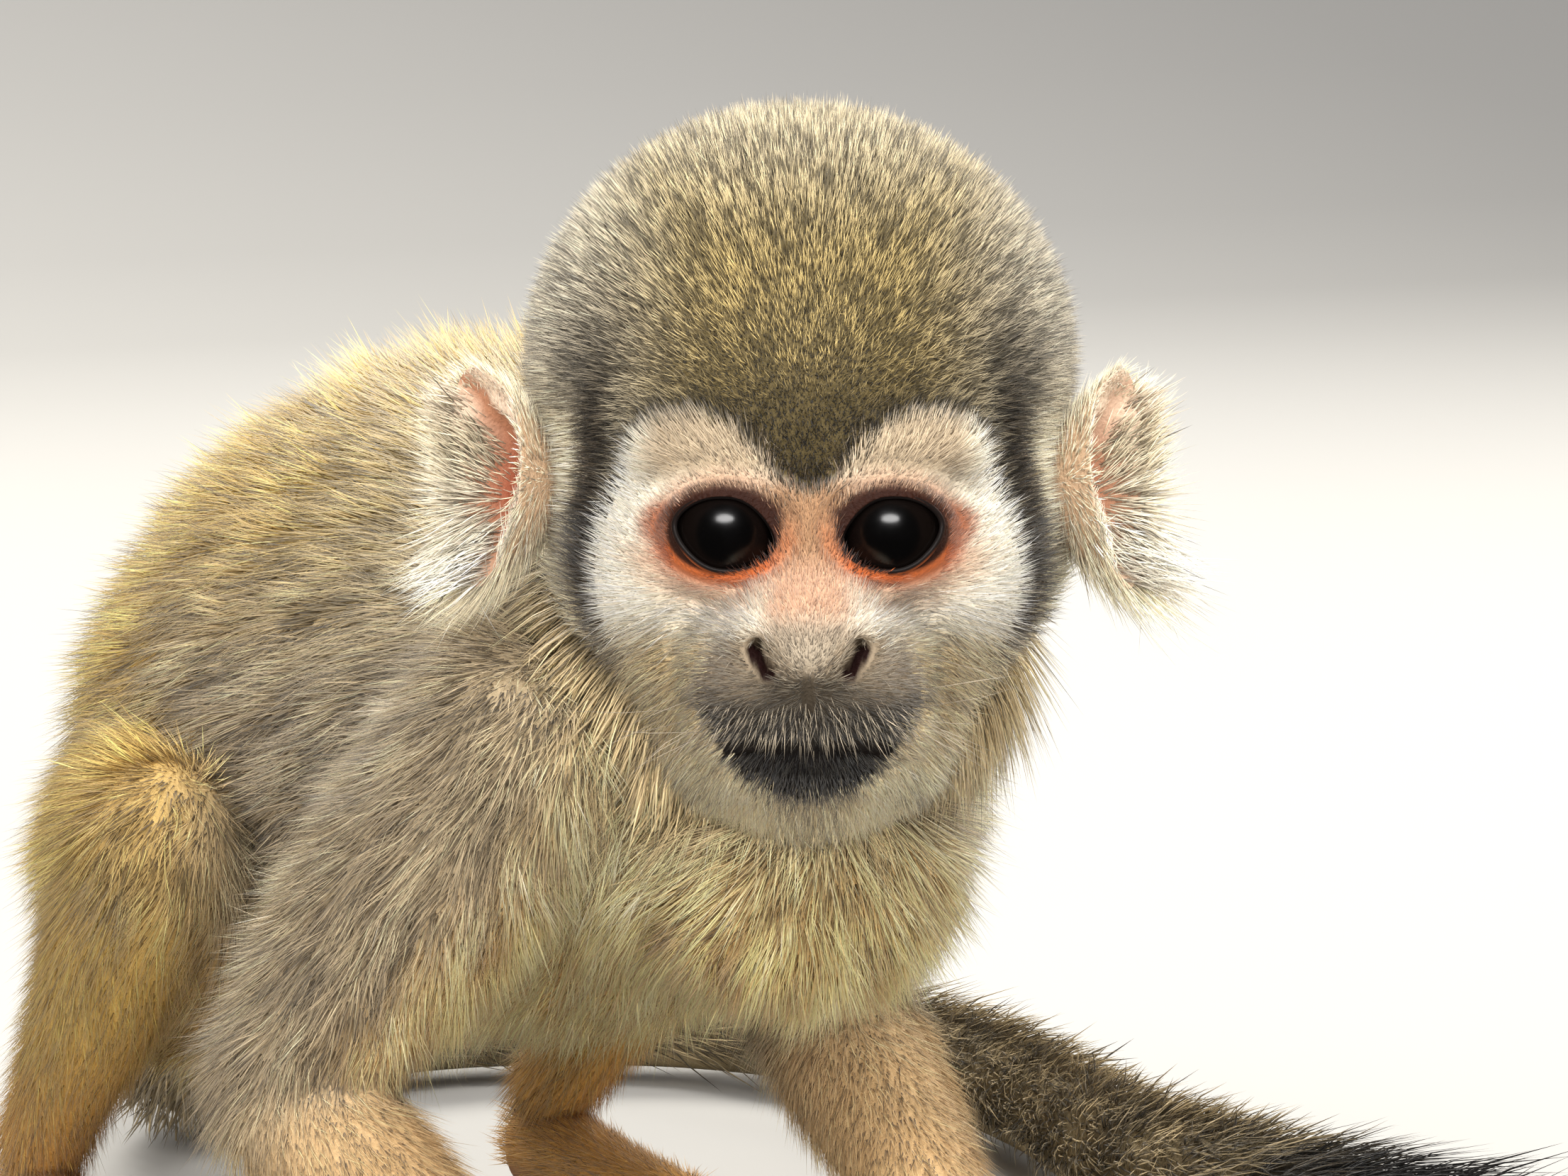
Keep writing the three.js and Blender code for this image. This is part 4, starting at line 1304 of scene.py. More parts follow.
@dataclass
class Tufts:
    """Tufts of hair, one row each. Places are in metres, lengths and widths in millimetres."""

    root: Array
    normal: Array
    lie: Array
    length: Array
    width: Array
    lift: Array
    colours: Array  # [tuft, root to tip, channel]
    sheet: Array

    def pick(self, keep: Array) -> "Tufts":
        """The tufts that a mask keeps."""
        return Tufts(*(getattr(self, part.name)[keep] for part in fields(self)))

    def __len__(self) -> int:
        """How many tufts there are."""
        return len(self.root)

    def tousle(self, seed: int, turn: Array | float = 0.16, size: float = 0.18) -> None:
        """Vary the direction, steepness and size of each tuft.

        Args:
            seed: Which variation.
            turn: Spread of the direction.
            size: Spread of the length and steepness.
        """
        draw = np.random.default_rng(seed)
        side = np.cross(self.normal, self.lie)
        turns = draw.normal(size=len(self)) * turn
        self.lie = unit(self.lie + side * turns[:, None])
        self.length = self.length * np.clip(1 + draw.normal(size=len(self)) * size, 0.5, 1.5)
        self.width = self.width * np.clip(1 + draw.normal(size=len(self)) * 0.2, 0.6, 1.5)
        self.lift = self.lift * np.clip(1 + draw.normal(size=len(self)) * size * 1.2, 0.3, 1.7)

    def clump(self, one_in: int, pull: float) -> None:
        """Draw the tips together towards the tip of a near tuft.

        Args:
            one_in: How many tufts share a leader.
            pull: How far the tips come together, 0 to 1.
        """
        leaders = self.root[::one_in]
        tree = sorted_places(leaders)
        nearest = np.array([tree.find(place)[1] for place in self.root])
        gap = (leaders[nearest] - self.root) / (self.length * MM)[:, None]
        self.lie = along_surface(self.lie + gap * pull, self.normal)

    def mesh(self, name: str, bends: int = 1, thickness: float = 0.45) -> Object:
        """Build the tufts as closed three-sided spikes that bend down along the skin.

        Args:
            name: The piece's name.
            bends: Rings between the root and the tip.
            thickness: Share of the width.

        Returns:
            The piece.
        """
        rings = bends + 1
        side = np.cross(self.normal, self.lie)
        sunk = np.minimum(0.35, 0.09 * self.length) * MM  # how deep the root is in the skin
        place = self.root - self.normal * sunk[:, None]
        length = (self.length * MM)[:, None]
        points = np.empty((len(self), rings * 3 + 1, 3), np.float32)
        for ring in range(rings):
            steep = self.lift * (1 - 0.75 * ring / rings)
            way = self.lie * np.cos(steep)[:, None] + self.normal * np.sin(steep)[:, None]
            up = np.cross(way, side) * -1
            half = (self.width * MM / 2 * RING_WIDTHS[min(ring, 2)])[:, None]
            for k, turn in enumerate(np.radians((90, 210, 330))):
                offset = side * np.cos(turn) + up * np.sin(turn) * thickness
                points[:, ring * 3 + k] = place + offset * half
            place = place + way * length / rings
        points[:, -1] = place
        points[:, :, 2] = np.maximum(points[:, :, 2], HAIR_CLEAR)
        return self.assemble(name, points, rings)

    def assemble(self, name: str, points: Array, rings: int) -> Object:
        """Write the tufts' points, faces, colours and unwrap as one mesh.

        Args:
            name: The piece's name.
            points: Each tuft's points, ring by ring and then the tip.
            rings: How many rings each has.

        Returns:
            The piece.
        """
        count, each = points.shape[:2]
        levels = np.append(np.repeat(np.arange(rings), 3), rings) / rings
        quads = [
            (r * 3 + k, r * 3 + (k + 1) % 3, r * 3 + 3 + (k + 1) % 3, r * 3 + 3 + k)
            for r in range(rings - 1)
            for k in range(3)
        ]
        tips = [(rings * 3 - 3 + k, rings * 3 - 3 + (k + 1) % 3, each - 1) for k in range(3)]
        faces = [*quads, *tips, (2, 1, 0)]
        loops = np.array([i for face in faces for i in face])
        corner = (loops[None] + np.arange(count)[:, None] * each).ravel()
        totals = np.tile([len(face) for face in faces], count)
        starts = np.concatenate([[0], np.cumsum(totals)[:-1]])
        mesh = bpy.data.meshes.new(name)
        mesh.vertices.add(count * each)
        mesh.vertices.foreach_set("co", points.ravel())
        mesh.loops.add(len(corner))
        mesh.loops.foreach_set("vertex_index", corner.astype(np.int32))
        mesh.polygons.add(len(totals))
        mesh.polygons.foreach_set("loop_start", starts.astype(np.int32))
        mesh.polygons.foreach_set("loop_total", totals.astype(np.int32))
        mesh.polygons.foreach_set("use_smooth", np.ones(len(totals), bool))
        mesh.update(calc_edges=True)
        turns = np.append(np.tile(np.arange(3), rings), 1) / 2
        sheet = self.sheet[:, None] + np.stack([turns, levels], axis=1)[None] * PATCH
        layer = mesh.uv_layers.new(name="OFBake")
        layer.data.foreach_set("uv", sheet.reshape(-1, 2)[corner].astype(np.float32).ravel())
        piece = bpy.data.objects.new(name, mesh)
        bpy.context.collection.objects.link(piece)
        stops = np.linspace(0, 1, self.colours.shape[1])
        index = np.minimum(np.searchsorted(stops, levels, side="right") - 1, len(stops) - 2)
        local = ((levels - stops[index]) / (stops[1] - stops[0]))[None, :, None]
        shade = self.colours[:, index] * (1 - local) + self.colours[:, index + 1] * local
        paint(piece, shade.reshape(-1, 3))
        return piece


def specks(p: Array, size: float, seed: int) -> Array:
    """Random values from 0 to 1 that are the same within each small cell of space.

    Args:
        p: Places in millimetres.
        size: The cells' size.
        seed: Which values.

    Returns:
        The value at each place.
    """
    cell = np.floor(p / size).astype(np.int64) + 500
    index = (cell[:, 0] * 1_000_003 + cell[:, 1] * 10_007 + cell[:, 2] * 101 + seed) % 65_521
    return np.random.default_rng(seed).random(65_521)[index]


def ticked(
    colour: Array, seed: int, dark: Array | float, bright: float = 1.25, root_shade: float = 0.5
) -> Array:
    """Colours from root to tip of a coat whose hairs are banded.

    Args:
        colour: The coat's colour at each root.
        seed: Which hairs are dark.
        dark: The share of hairs with black tips, for each root or for all.
        bright: How much brighter the pale bands are.
        root_shade: How bright the roots are: a painted shade of the coat's depth over the hair's own darker
            base.

    Returns:
        Three colours for each tuft.
    """
    draw = np.random.default_rng(seed)
    count = len(colour)
    value = np.clip(1 + draw.normal(size=(count, 1)) * 0.26, 0.45, 1.7)
    black = draw.random(count) < dark
    body = colour * value
    tip = np.where(black[:, None], body * 0.16, body * bright)
    middle = np.where(black[:, None], body * 0.32, body)
    # the roots carry a painted shade of the coat's depth as well as the hair's own darker base
    return np.stack([body * root_shade, middle, tip], axis=1)


# ---------------------------------------------------------------- skins


def unwrap(piece: Object) -> None:
    """Unwrap a skin by its own shape."""
    while piece.data.uv_layers:
        piece.data.uv_layers.remove(piece.data.uv_layers[0])
    piece.data.uv_layers.new(name="OFBake")
    edit(piece, bpy.ops.uv.smart_project, angle_limit=math.radians(66), island_margin=0.002)


def united(
    tubes: list[Tube], stand: Stand, name: str, voxel: float, clear: float, **relax: object
) -> Object:
    """Loft tubes and unite them in one smooth, unwrapped skin.

    Args:
        tubes: The tubes.
        stand: Where the animal stands.
        name: The skin's name.
        voxel: How fine its mesh is, in millimetres.
        clear: How far it stays above the floor, in millimetres.
        **relax: How its mesh is smoothed.

    Returns:
        The skin.
    """
    lofts = [
        closed_ball(
            tube.around, tube.rows + 2 * CAP_ROWS,
            lambda u, v, tube=tube: stand.from_body(tube.outline(u, v)),
        )
        for tube in tubes
    ]
    skin = merge(lofts, name)
    finish_modifier(skin, "REMESH", mode="VOXEL", voxel_size=voxel * MM)
    finish_modifier(skin, "SMOOTH", **relax)
    p = points_of(skin)
    p[:, 2] = np.maximum(p[:, 2], clear * MM)
    move_points(skin, p)
    smooth(skin)
    unwrap(skin)
    return skin


@dataclass
class Eye:
    """One eye: its ball, its opening in the lids and the rim of the lids."""

    side: int  # +1 on the left
    stand: Stand
    form: HeadForm
    half_width: float = 5.4
    half_height: float = 4.3
    tilt: float = 0.06
    raise_: float = 0.32

    def axes(self) -> Array:
        """Rows: across, forwards and up of the opening, in the head's frame."""
        turn = rotation(-self.raise_, 0) @ rotation(-self.side * self.tilt, 1)
        return np.stack([turn[:, 0], -turn[:, 1], turn[:, 2]])

    def place(self, local: Array) -> Array:
        """Points [across, forwards, up] about the eye, as metres of the whole frame."""
        return self.stand.from_head(local @ self.axes() + self.form.eye_centre(self.side))

    def almond(self, turn: Array) -> tuple[Array, Array]:
        """The opening's outline.

        Args:
            turn: Angle round it, from the outer corner.

        Returns:
            Distances across and up.
        """
        c, s = np.cos(turn), np.sin(turn)
        lid = np.where(s > 0, 1.0, 0.94) * self.half_height
        across = self.half_width * c * (1 + 0.05 * c * c)
        up = lid * s * (1 - 0.16 * np.abs(c) ** 3) + 0.75 * c * np.abs(c) - 0.15
        return self.side * across, up

    def cutter(self) -> Object:
        """A prism of the opening's shape, from the ball's middle out through the lids."""
        prism = primitive(bpy.ops.mesh.primitive_cylinder_add, vertices=72, radius=1, depth=2)
        p = points_of(prism)
        across, up = self.almond(np.arctan2(p[:, 1], p[:, 0]))
        forwards = np.where(p[:, 2] > 0, 14.0, 0.0)
        move_points(prism, self.place(np.stack([across, forwards, up], axis=1)))
        face_out(prism)
        return prism

    def ball(self) -> Object:
        """The eyeball, with its cornea, iris and pupil."""

        def place(u: Array, v: Array) -> Array:
            """Points of the ball, with the pole v = 0 at the pupil."""
            r = (self.form.eye_radius - 0.05) * (1 + 0.035 * np.exp(-((v / 0.19) ** 2)))
            turn, polar = u * 2 * np.pi, v * np.pi
            way = [np.sin(polar) * np.cos(turn), np.cos(polar), np.sin(polar) * np.sin(turn)]
            return self.place(np.stack(way, axis=1) * r[:, None])

        ball = closed_ball(56, 44, place)
        smooth(ball)
        away = unit(self.stand.to_head(points_of(ball)) - self.form.eye_centre(self.side)) @ self.axes()[1]
        v = np.arccos(np.clip(away, -1, 1)) / np.pi
        tone = mix(PUPIL, IRIS, ramp(v, 0.15, 0.18))
        paint(ball, mix(tone, IRIS * 0.5, ramp(v, 0.24, 0.3)))
        return ball

    def rim(self) -> Object:
        """The moist edge of the lids."""
        rim = primitive(
            bpy.ops.mesh.primitive_torus_add,
            major_segments=84, minor_segments=10, major_radius=1, minor_radius=0.1,
        )
        p = points_of(rim)
        turn = np.arctan2(p[:, 1], p[:, 0])
        out = (np.hypot(p[:, 0], p[:, 1]) - 1) / 0.1
        over = p[:, 2] / 0.1
        across, up = self.almond(turn)
        radius = self.form.eye_radius + 0.42
        forwards = np.sqrt(np.maximum(radius**2 - across**2 - up**2, 1))
        middle = np.stack([across, forwards, up], axis=1)
        away = unit(middle)
        step = np.stack([across, np.zeros(len(p)), up], axis=1)
        sideways = along_surface(step, away)
        points = middle + sideways * (out * 0.4 + 0.12)[:, None] + away * (over * 0.34)[:, None]
        move_points(rim, self.place(points))
        smooth(rim)
        wet = mix(UMBER * 0.55, BLACK, ramp(out, 0.5, -0.4))
        wet = mix(wet, RUST * 0.6, ramp(up, -1.5, -3.2) * ramp(out, -0.3, 0.6))
        paint(rim, wet)
        return rim


@dataclass
class HeadSkin:
    """The head's skin under its coat, with the nostrils, the mouth and the openings of the eyes."""

    stand: Stand
    form: HeadForm
    hair: HeadHair
    eyes: list[Eye]
    detail: int = 7
    crowd: float = 0.45  # how much finer the face's mesh is

    def carve(self, p: Array) -> Array:
        """How deep the skin is let in for the nostrils, the mouth and the creases of the lids.

        Args:
            p: Points of the head's outline, in its frame.

        Returns:
            Depths in millimetres.
        """
        face = self.hair.marks.face
        across, height, _, depth = face.read(p)
        front = ramp(depth, 6, 0)
        nostril = 2.6 * np.exp(-(face.nostril(across, height) ** 3))
        mouth = 1.5 * np.exp(-((face.mouth(across, height) / 0.5) ** 2)) * ramp(across, 11, 8.8)
        groove = 0.5 * np.exp(-((across / 0.55) ** 2)) * ramp(height, -14, -16) * ramp(height, -24, -22)
        eye = face.eye(across, height)
        crease = 0.45 * np.exp(-(((eye - 1.5) / 0.09) ** 2)) * ramp(height, -1.5, 1.5)
        crease += 0.3 * np.exp(-(((eye - 1.46) / 0.08) ** 2)) * ramp(height, 1, -2)
        return (nostril + mouth + groove + crease) * front

    def build(self) -> Object:
        """Shape the skin, cut the eyes' openings, unwrap it and paint it.

        Returns:
            The skin.
        """
        skin = primitive(bpy.ops.mesh.primitive_ico_sphere_add, subdivisions=self.detail, radius=1)
        skin.name = "head_skin"
        ways = unit(unit(points_of(skin)) + self.crowd * unit(np.array([0, -1, -0.12])))
        heart = np.array(self.form.heart)
        outline = heart + ways * self.form.reach(ways)[:, None]
        sink = self.hair.depth(outline) + self.carve(outline)
        inner = heart + ways * self.form.reach(ways, sink)[:, None]
        move_points(skin, self.stand.from_head(inner))
        for eye in self.eyes:
            cutter = eye.cutter()
            finish_modifier(skin, "BOOLEAN", operation="DIFFERENCE", solver="EXACT", object=cutter)
            bpy.data.objects.remove(cutter)
        smooth(skin)
        unwrap(skin)
        paint(skin, self.hair.marks.skin(self.stand.to_head(points_of(skin))))
        return skin


@dataclass
class Ear:
    """One ear: a cup of thin skin with a rolled rim, in a frame of its own that faces -Y."""

    side: int  # +1 on the left
    stand: Stand
    half_width: float = 8.8
    half_height: float = 12.4
    cup: float = 5  # how far the rim stands forwards
    thickness: float = 1.1
    rim: float = 0.75  # how much thicker the rim is
    root: float = 9  # depth of the root behind the cup
    place: Triple = (32.7, 22, -2.4)
    out: float = 1.02  # turned away from the face, in radians
    lean: float = -0.25
    roll: float = 0.2
    blush: float = 1.0  # how red the bare fold is

    def axes(self) -> Array:
        """Rows: the ear's own axes in the head's frame."""
        turned = rotation(self.side * self.out, 2) @ rotation(self.side * self.roll, 1)
        return (turned @ rotation(self.lean, 0)).T

    def mirror(self) -> Array:
        """What takes the left ear's places to this ear's."""
        return np.array([self.side, 1, 1])

    def seat(self, local: Array) -> Array:
        """Points of the ear's own frame, as metres of the whole frame."""
        mirrored = local * self.mirror()
        return self.stand.from_head(mirrored @ self.axes() + self.place * self.mirror())

    def local(self, points: Array) -> Array:
        """Points in metres of the whole frame, in the ear's own frame."""
        inner = (self.stand.to_head(points) - self.place * self.mirror()) @ self.axes().T
        return inner * self.mirror()

    def turn(self, vectors: Array) -> Array:
        """Directions of the ear's own frame, as directions of the whole frame."""
        return (vectors * self.mirror()) @ self.axes() @ self.stand.head_axes.T

    def forwards(self) -> Array:
        """The way the cup faces, in the whole frame."""
        return self.turn(np.array([[0, -1.0, 0]]))[0]

    def fold(self, x: Array, z: Array) -> Array:
        """Distance, to the rear, from the bare fold that runs from the ear's tip down to its front foot."""
        return x - np.interp(z, (-10, -4, 4, 12), (-1.6, -0.4, 1.8, 8.2))

    def strip(self, z: Array) -> Array:
        """Half the width of the bare fold."""
        return np.interp(z, (-9, -3, 3, 8, 13), (1.0, 2.1, 2.2, 1.4, 0.6))

    def reach(self, angle: Array) -> Array:
        """How far the rim is from the middle, as a share of the half width and height."""
        tall = 0.4 * np.exp(-(((angle - 0.75) / 0.5) ** 2))
        return 0.95 + tall - 0.3 * np.exp(-(((angle + 0.4) / 0.75) ** 2))

    def build(self) -> Object:
        """Shape and paint the ear.

        Returns:
            The ear.
        """

        def place(u: Array, v: Array) -> Array:
            """Points of the closed cup, from the middle of its face to its root."""
            angle = np.where(u < 0.75, u, u - 1) * 2 * np.pi
            polar = v * np.pi
            spread = np.sin(polar) ** 0.8
            thick = self.thickness / 2 + self.rim * spread**6
            back = np.where(polar > np.pi / 2, self.root * (1 - spread) ** 1.4, 0)
            face = ramp(polar, np.pi / 2, np.pi / 2 - 0.5)
            high = ramp(np.sin(angle), -0.3, 0.5)
            bowl = 2.6 * np.exp(-((spread / 0.42) ** 2))
            reach = self.reach(angle) * spread
            x = np.cos(angle) * reach * self.half_width
            z = np.sin(angle) * reach * self.half_height
            ridge = 0.9 * np.exp(-(((spread - 0.7) / 0.08) ** 2)) * high
            ridge = ridge - 1.1 * np.exp(-((self.fold(x, z) / 2.2) ** 2))
            tragus = 1.4 * np.exp(-(((spread - 0.5) / 0.12) ** 2) - ((np.cos(angle) + 1) / 0.3) ** 2)
            y = back - self.cup * spread**2.4 - np.cos(polar) * thick + face * (bowl - ridge - tragus)
            return self.seat(np.stack([x, y, z], axis=1))

        ear = closed_ball(72, 48, place)
        ear.name = f"ear_skin_{SIDES[self.side]}"
        smooth(ear)
        unwrap(ear)
        p = self.local(points_of(ear))
        ahead = normals_of(ear) @ self.forwards()
        radius = np.hypot(p[:, 0] / self.half_width, p[:, 2] / self.half_height)
        fold = np.abs(self.fold(p[:, 0], p[:, 2]))
        pale = np.maximum(ramp(radius, 0.6, 1.0), ramp(p[:, 2], 3, 9))
        inside = mix(PINK * 0.6, mix(PINK, WHITE, 0.5), pale)
        red = mix(mix(PINK, RUST, 0.4) * 0.7, EAR_RED, ramp(np.abs(p[:, 2] + 0.5), 9, 1))
        inside = mix(inside, red, ramp(fold / self.strip(p[:, 2]), 2.6, 0.3) * self.blush)
        paint(ear, mix(mix(PINK, GREY, 0.55), inside, ramp(ahead, -0.35, 0.1)))
        return ear


@dataclass
class BodySkin:
    """The skin of the body, its limbs and its tail, under the coat."""

    stand: Stand
    marks: BodyMarkings

    def build(self) -> Object:
        """Unite the lengths of the body.

        Returns:
            The skin.
        """
        skin = united(
            self.marks.tubes, self.stand, "body_skin",
            voxel=1.25, clear=0.4, factor=0.6, iterations=6,
        )
        paint(skin, self.marks.colour(self.stand.to_body(points_of(skin)), normals_of(skin)))
        return skin


@dataclass
class PawSkin:
    """The skin of one hand or foot, with its nails."""

    plan: PawPlan
    stand: Stand

    def build(self) -> Object:
        """Unite the palm and the digits.

        Returns:
            The skin.
        """
        skin = united(
            self.plan.tubes(), self.stand, f"{self.plan.name}_skin",
            voxel=0.5, clear=0.15, factor=0.5, iterations=5,
        )
        under = ramp(normals_of(skin)[:, 2], 0.0, -0.5)
        tips = self.tips(self.stand.to_body(points_of(skin)))
        bare = mix(PINK * 0.55, RUST * 0.5, 0.3)
        paint(skin, mix(ORANGE * 0.85, bare, np.maximum(under, tips * 0.75)))
        return skin

    def tips(self, p: Array) -> Array:
        """How near points are to the bare tips of the digits, 0 to 1."""
        near = np.zeros(len(p))
        for tube in self.plan.digits():
            gap = np.linalg.norm(p - np.array(tube.stations[-1][:3]), axis=1)
            near = np.maximum(near, ramp(gap, 4.5, 2.0))
        return near

    def nails(self) -> Object:
        """The narrow, arched nails over the tips of the digits."""
        nails = []
        for tube in self.plan.digits():
            table = np.array(tube.stations)
            tip, size = table[-1, :3], table[-1, 3]
            way = unit(tip - table[-3, :3])
            side = unit(np.cross(way, [0, 0, 1.0]))
            top = np.cross(side, way)

            def place(u: Array, v: Array) -> Array:
                """Points of a nail, from its root to its tip."""
                turn, polar = u * 2 * np.pi, v * np.pi
                along = -np.cos(polar)
                wide = np.sin(polar) * (1 - 0.35 * ramp(along, -0.2, 1))
                x = along * 1.8 + 0.7
                y = np.cos(turn) * wide * size * 0.62
                z = np.sin(turn) * wide * 0.42 - (y / size) ** 2 * 0.5 - 0.16 * np.maximum(x, 0) ** 2
                lifted = z + size * 0.78
                points = tip + x[:, None] * way + y[:, None] * side + lifted[:, None] * top
                points[:, 2] = np.maximum(points[:, 2], 0.1)
                return self.stand.from_body(points)

            nails.append(closed_ball(16, 12, place))
        whole = merge(nails, f"{self.plan.name}_nails")
        smooth(whole)
        paint(whole, np.tile(HORN, (len(whole.data.vertices), 1)))
        return whole


# ---------------------------------------------------------------- coats


@dataclass
class Shell:
    """A closed skin, which other hair stays out of."""

    piece: Object
    stand: Stand
    top: float = 8.0  # the skin is all below this, in the head's frame
    tree: KDTree = field(init=False)

    def __post_init__(self) -> None:
        """Sort the skin's faces by place."""
        self.tree = sorted_places([face.center for face in self.piece.data.polygons])

    def holds(self, points: Array) -> Array:
        """Whether points in metres are more than half a millimetre inside the skin."""
        hidden = np.zeros(len(points), bool)
        for i in np.flatnonzero(self.stand.to_head(points)[:, 2] < self.top):
            centre, index, _ = self.tree.find(points[i])
            normal = self.piece.data.polygons[index].normal
            hidden[i] = (Vector(points[i]) - centre).dot(normal) < -0.5 * MM
        return hidden


@dataclass
class HeadCoat:
    """The hair of the head."""

    skin: Object
    stand: Stand
    form: HeadForm
    hair: HeadHair
    body: Shell

    def tufts(self, seed: int = 3) -> Tufts:
        """Root, lay and colour every tuft of the head.

        Args:
            seed: Which coat.

        Returns:
            The tufts.
        """
        ground = Ground(self.skin)
        face = self.hair.marks.face
        centre = self.stand.to_head(ground.centres)
        across, height, _, depth = face.read(centre)
        length = self.hair.length(centre)
        density = np.interp(length, (1, 2, 2.9, 3.3, 4, 6, 8, 12), (14, 13, 11.5, 9.5, 7.5, 5.4, 5.4, 5.4))
        opening = face.eye(across, height) - 0.06 * ramp(height, 0, -3)
        density = density * np.maximum(ramp(opening, 1.04, 1.18), depth > 14)
        for side in (1, -1):
            gap = np.linalg.norm(centre - self.form.eye_centre(side), axis=1) - self.form.eye_radius
            density = density * (gap > 0.6)
        lips = (np.abs(face.mouth(across, height)) < 0.55) & (across < 9.4) & (depth < 0)
        nostril = (face.nostril(across, height) < 1.25) & (depth < 0)
        density = density * ~lips * ~nostril * ~self.body.holds(ground.centres)
        root, normal, sheet = ground.scatter(density, seed)
        p = self.stand.to_head(root)
        turned = normal @ self.stand.head_axes
        length = self.hair.length(p)
        lie = self.hair.lie(p, turned)
        drift = sway(p, 9, seed)[:, None] * np.cross(turned, lie) * ramp(length, 2, 6)[:, None] * 0.3
        lift = self.hair.lift(length) + self.hair.steep(p)
        shown = p + lie * (length * 0.5 * np.cos(lift))[:, None]
        tufts = Tufts(
            root, normal, unit(lie + drift) @ self.stand.head_axes.T, length,
            np.interp(length, (1, 2.5, 3.3, 8, 12), (0.14, 0.2, 0.23, 0.18, 0.17)),
            lift, self.hair.marks.coat(shown, seed), sheet,
        )
        tufts.tousle(seed, 0.18 + 0.3 * self.hair.steep(p) / self.hair.crown_steep)
        tufts.clump(5, 0.22)
        return tufts

    def bristles(self, seed: int = 5) -> Tufts:
        """The pale bristles that hang over the mouth, and a few long whiskers.

        Args:
            seed: Which bristles.

        Returns:
            The tufts.
        """
        ground = Ground(self.skin)
        face = self.hair.marks.face
        across, height, _, depth = face.read(self.stand.to_head(ground.centres))
        fringe = ramp(height, -17.6, -19.4) * ramp(height, -22.6, -21.8) * (across < 11.5) * (depth < 2)
        whiskers = ramp(across, 7, 8) * ramp(across, 15, 13) * (np.abs(height + 17) < 5) * (depth < 6)
        root, normal, sheet = ground.scatter(2.7 * fringe + 0.1 * whiskers, seed)
        draw = np.random.default_rng(seed)
        p = self.stand.to_head(root)
        turned = normal @ self.stand.head_axes
        across, height, _, _ = face.read(p)
        long = (across > 9.5) & (draw.random(len(p)) < 0.25)
        sign = np.sign(p[:, 0])
        hang = np.stack([sign * (0.1 + 0.05 * across), 0.1 + 0 * across, -1 + 0 * across], axis=1)
        spread = np.stack([sign, 0.3 + 0 * across, -0.9 + draw.normal(size=len(p)) * 0.4], axis=1)
        lie = along_surface(np.where(long[:, None], spread, hang), turned)
        length = np.where(long, 14.0, 2.4 + 1.0 * ramp(height, -18, -21))
        tufts = Tufts(
            root, normal, lie @ self.stand.head_axes.T, length, np.where(long, 0.08, 0.09),
            np.radians(np.where(long, 42.0, 30.0)),
            ticked(np.tile(BRISTLE, (len(p), 1)), seed, 0.0, 1.05, 0.45), sheet,
        )
        tufts.tousle(seed, 0.2, 0.22)
        return tufts


@dataclass
class EarCoat:
    """The hair on the back and the rim of one ear, and the fine hair in its cup."""

    skin: Object
    ear: Ear

    def tufts(self, seed: int) -> Tufts:
        """Root, lay and colour the tufts.

        Args:
            seed: Which coat.

        Returns:
            The tufts.
        """
        ground = Ground(self.skin)

        def reading(points: Array, normal: Array) -> tuple[Array, Array, Array]:
            """The place on the ear, how near the rim it is, and how far it faces forwards."""
            p = self.ear.local(points)
            angle = np.arctan2(p[:, 2] / self.ear.half_height, p[:, 0] / self.ear.half_width)
            angle = np.where(angle < -np.pi / 2, angle + 2 * np.pi, angle)
            radius = np.hypot(p[:, 0] / self.ear.half_width, p[:, 2] / self.ear.half_height)
            return p, radius / self.ear.reach(angle), normal @ self.ear.forwards()

        p, edge, ahead = reading(ground.centres, unit(ground.normals.mean(axis=1)))
        back = ramp(ahead, 0.3, -0.2)
        fold = self.ear.fold(p[:, 0], p[:, 2])
        inner = ramp(np.abs(fold) / self.ear.strip(p[:, 2]), 0.8, 1.6)
        tall = ramp(p[:, 2], 4, 8) * ramp(edge, 0.95, 0.7)
        density = 3.8 * back * ramp(edge, 0.2, 0.5) + (1 - back) * (0.8 + 7 * inner) * (1 - 0.7 * tall)
        root, normal, sheet = ground.scatter(density, seed)
        p, edge, ahead = reading(root, normal)
        back = ramp(ahead, 0.3, -0.2)
        rear = ramp(self.ear.fold(p[:, 0], p[:, 2]), 0, 2)
        radial = np.stack([p[:, 0] + 2, np.zeros(len(p)), p[:, 2] * 0.8], axis=1)
        radial = mix(np.array([-0.4, 0, 0.8]), unit(radial) + np.array([0.5, 0.15, -0.25]), rear)
        radial = mix(radial, unit(p + 1e-6) + np.array([0.4, 0.15, -0.2]), back)
        lie = along_surface(self.ear.turn(radial), normal)
        front = mix(1.6, 5.8, rear * ramp(edge, 0.25, 0.8))
        length = mix(front, 2.6 + 2.8 * ramp(edge, 0.35, 0.95), back)
        length = length * mix(1, 0.6, ramp(p[:, 0], 0, -8))
        length = length + 3.6 * ramp(p[:, 2], 2, -9) * ramp(edge, 0.4, 0.9)
        length = length * mix(1, 0.6, ramp(p[:, 2], 7, 12))
        low = ramp(p[:, 2], 3, -8)
        colour = mix(mix(PINK, WHITE, 0.7), mix(CREAM, PALE_GREY, 0.6), rear * ramp(p[:, 2], 12, 2))
        # painted shade: the hair below the ear's top is painted darker than at the top; the lowest fluff is
        # white
        colour = mix(colour * mix(0.78, 1.0, ramp(p[:, 2], 7, 11))[:, None], WHITE, low)
        colour = mix(colour, mix(mix(CREAM, WHITE, 0.4), PALE_GREY, ramp(edge, 0.9, 0.4)), back)
        tufts = Tufts(
            root, normal, lie, length, np.interp(length, (1, 4, 12), (0.13, 0.16, 0.17)),
            np.radians(mix(24.0, 22.0, back)), ticked(colour, seed, 0.06, 1.2, 0.6), sheet,
        )
        tufts.tousle(seed, 0.2)
        tufts.clump(6, 0.35)
        return tufts


